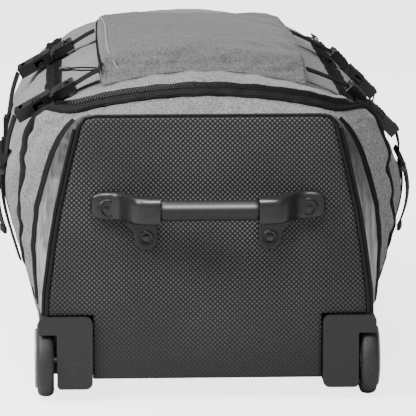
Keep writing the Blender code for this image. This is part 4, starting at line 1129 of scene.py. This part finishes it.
# Buckles: side-release buckles of black acetal. The plug hangs on a strap from the shoe
# pocket's side, and the socket on one sewn down the bag's side, with its end held by a keeper.
def ribbon(line, depth, look, name, body, wide=25.0, slot="webbing", stands_for=(), thick=1.6,
           twist=0.0):
    """Webbing across the bag along (x, z) points at one depth; twist lifts its far edge."""
    rows = [[place(x + math.copysign(twist * (share + 0.5), x), depth + wide * share, z)
             for x, z in line] for share in (-0.5, -0.46, -0.2, 0.2, 0.46, 0.5)]
    shape, _ = bridged(rows, closed=False)
    made = put(name, shape, look, None)
    modified(made, "SUBSURF", levels=2, render_levels=2)
    modified(made, "SOLIDIFY", thickness=thick * MM, offset=0)
    if body:
        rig.ride(made, body)
    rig.slot(made, slot)
    if stands_for:
        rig.replaces(made, *stands_for)
    return made


for label, side, depth, lean in (("near_left", -1, 130, 29), ("far_left", -1, 460, 29),
                                 ("near_right", 1, 130, 45), ("far_right", 1, 460, 46)):
    for half in ("plug", "socket"):
        softened(f"buckle_{half}_{label}", ACETAL, "black_nylon", 1.8, 4)
    corners = [c for half in ("plug", "socket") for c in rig.box(f"buckle_{half}_{label}")]
    middle = Vector([(min(c[i] for c in corners) + max(c[i] for c in corners)) / 2
                     for i in range(3)])
    lean = math.radians(lean)
    out = Vector((side * math.cos(lean), 0, -math.sin(lean)))
    off = Vector((side * math.sin(lean), 0, math.cos(lean)))
    turn = Matrix((out, Vector((0, 1, 0)), off)).transposed().to_4x4()

    def on_buckle(along, across, up):
        return middle + (out * along + off * up) * MM + Vector((0, across * MM, 0))

    # Ladder bars on the plug's strap end, grip ribs and a raised frame on the socket.
    plug_bars = [(-30.5, 5.2), (-25.5, 5.4), (-20.5, 5.4), (-15.5, 5.2)]
    socket_bars = [(4, 6.2), (8, 6.4), (12, 6.4), (31.5, 6.0)]
    for body, piece, bars in (("plug_" + label, "plug", plug_bars),
                              ("bag", "socket", socket_bars)):
        shape = bmesh.new()
        for along, lift in bars:
            place_bar = Matrix.Translation(on_buckle(along, 0, lift)) @ turn
            wide = 26 if piece == "socket" and along < 20 else 34
            block(shape, place_bar, (2.0, wide, 1.6), 0.5)
        put(f"buckle_{piece}_ribs_{label}", shape, ACETAL, body, "black_nylon")

    seat = Vector((side * 107.5, 319.0))
    end = on_buckle(-34.6, 0, 0)
    end = Vector((end.x / MM, end.z / MM))
    line = [seat, seat.lerp(end, 0.35) + Vector((0, 0.8)), seat.lerp(end, 0.7) + Vector((0, 0.4)), end]
    line = [tuple(p) for p in line]
    strap = ribbon(line, depth, WEBBING, "lid_webbing_" + label, "lid",
                   stands_for=["lid_strap_" + label])
    length = (end - seat).length
    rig.squash(strap, "release_" + label, axis=((end - seat).x, 0, (end - seat).y),
              anchor=tuple(place(seat.x, depth, seat.y)), keep=max(0.12, (length - 22.5) / length))

    # The strap lies on the fabric all the way down; its tail comes back up to the keeper,
    # and hangs loose outside it.
    def beside(z, lift):
        found = [SKIN.ray_cast(place(side * 400, depth + dy, z), Vector((-side, 0, 0)))[0]
                 for dy in (-12, 0, 12)]
        return side * (max(abs(p.x) for p in found) / MM + lift), z

    start = on_buckle(34.5, 0, 0)
    start = (start.x / MM, start.z / MM)
    down = [beside(z, 1.6) for z in (226, 205, 180, 150, 122)]
    mid = ((start[0] + down[0][0]) / 2 + side * 3, (start[1] + down[0][1]) / 2)
    ribbon([start, mid] + down, depth, WEBBING, "side_webbing_" + label, "bag",
           stands_for=["side_strap_" + label], twist=3.0)
    loose = 1.0 if depth < 300 else 0.3
    tail = [beside(z, 3.6 + loose * lift) for z, lift in ((238, 0.4), (226, 0.2), (212, 0), (192, 2),
                                                          (172, 4), (158, 3))]
    ribbon(tail, depth - 1.5, WEBBING, "strap_tail_" + label, "bag", thick=1.5, twist=5 * loose)
    end = [tail[-1], (tail[-1][0], tail[-1][1] - 7)]
    ribbon(end, depth - 1.5, BINDING, "tail_end_" + label, "bag", wide=25.4, thick=3.0,
           twist=5 * loose)
    ring_z = 218
    inner, outer = beside(ring_z, 0.0), beside(ring_z, 6.6)
    shape = bmesh.new()
    keeper = Matrix.Translation(place((inner[0] + outer[0]) / 2, depth, ring_z))
    block(shape, keeper, (abs(outer[0] - inner[0]), 31, 10), 1.2)
    put("strap_keeper_" + label, shape, ACETAL, "bag", "black_nylon")


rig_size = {"cad": [list(corner) for corner in cad_bounds],
           "visual": [list(corner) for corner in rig.bounds()]}
with open("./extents.json", "w") as kept:
    json.dump(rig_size, kept)
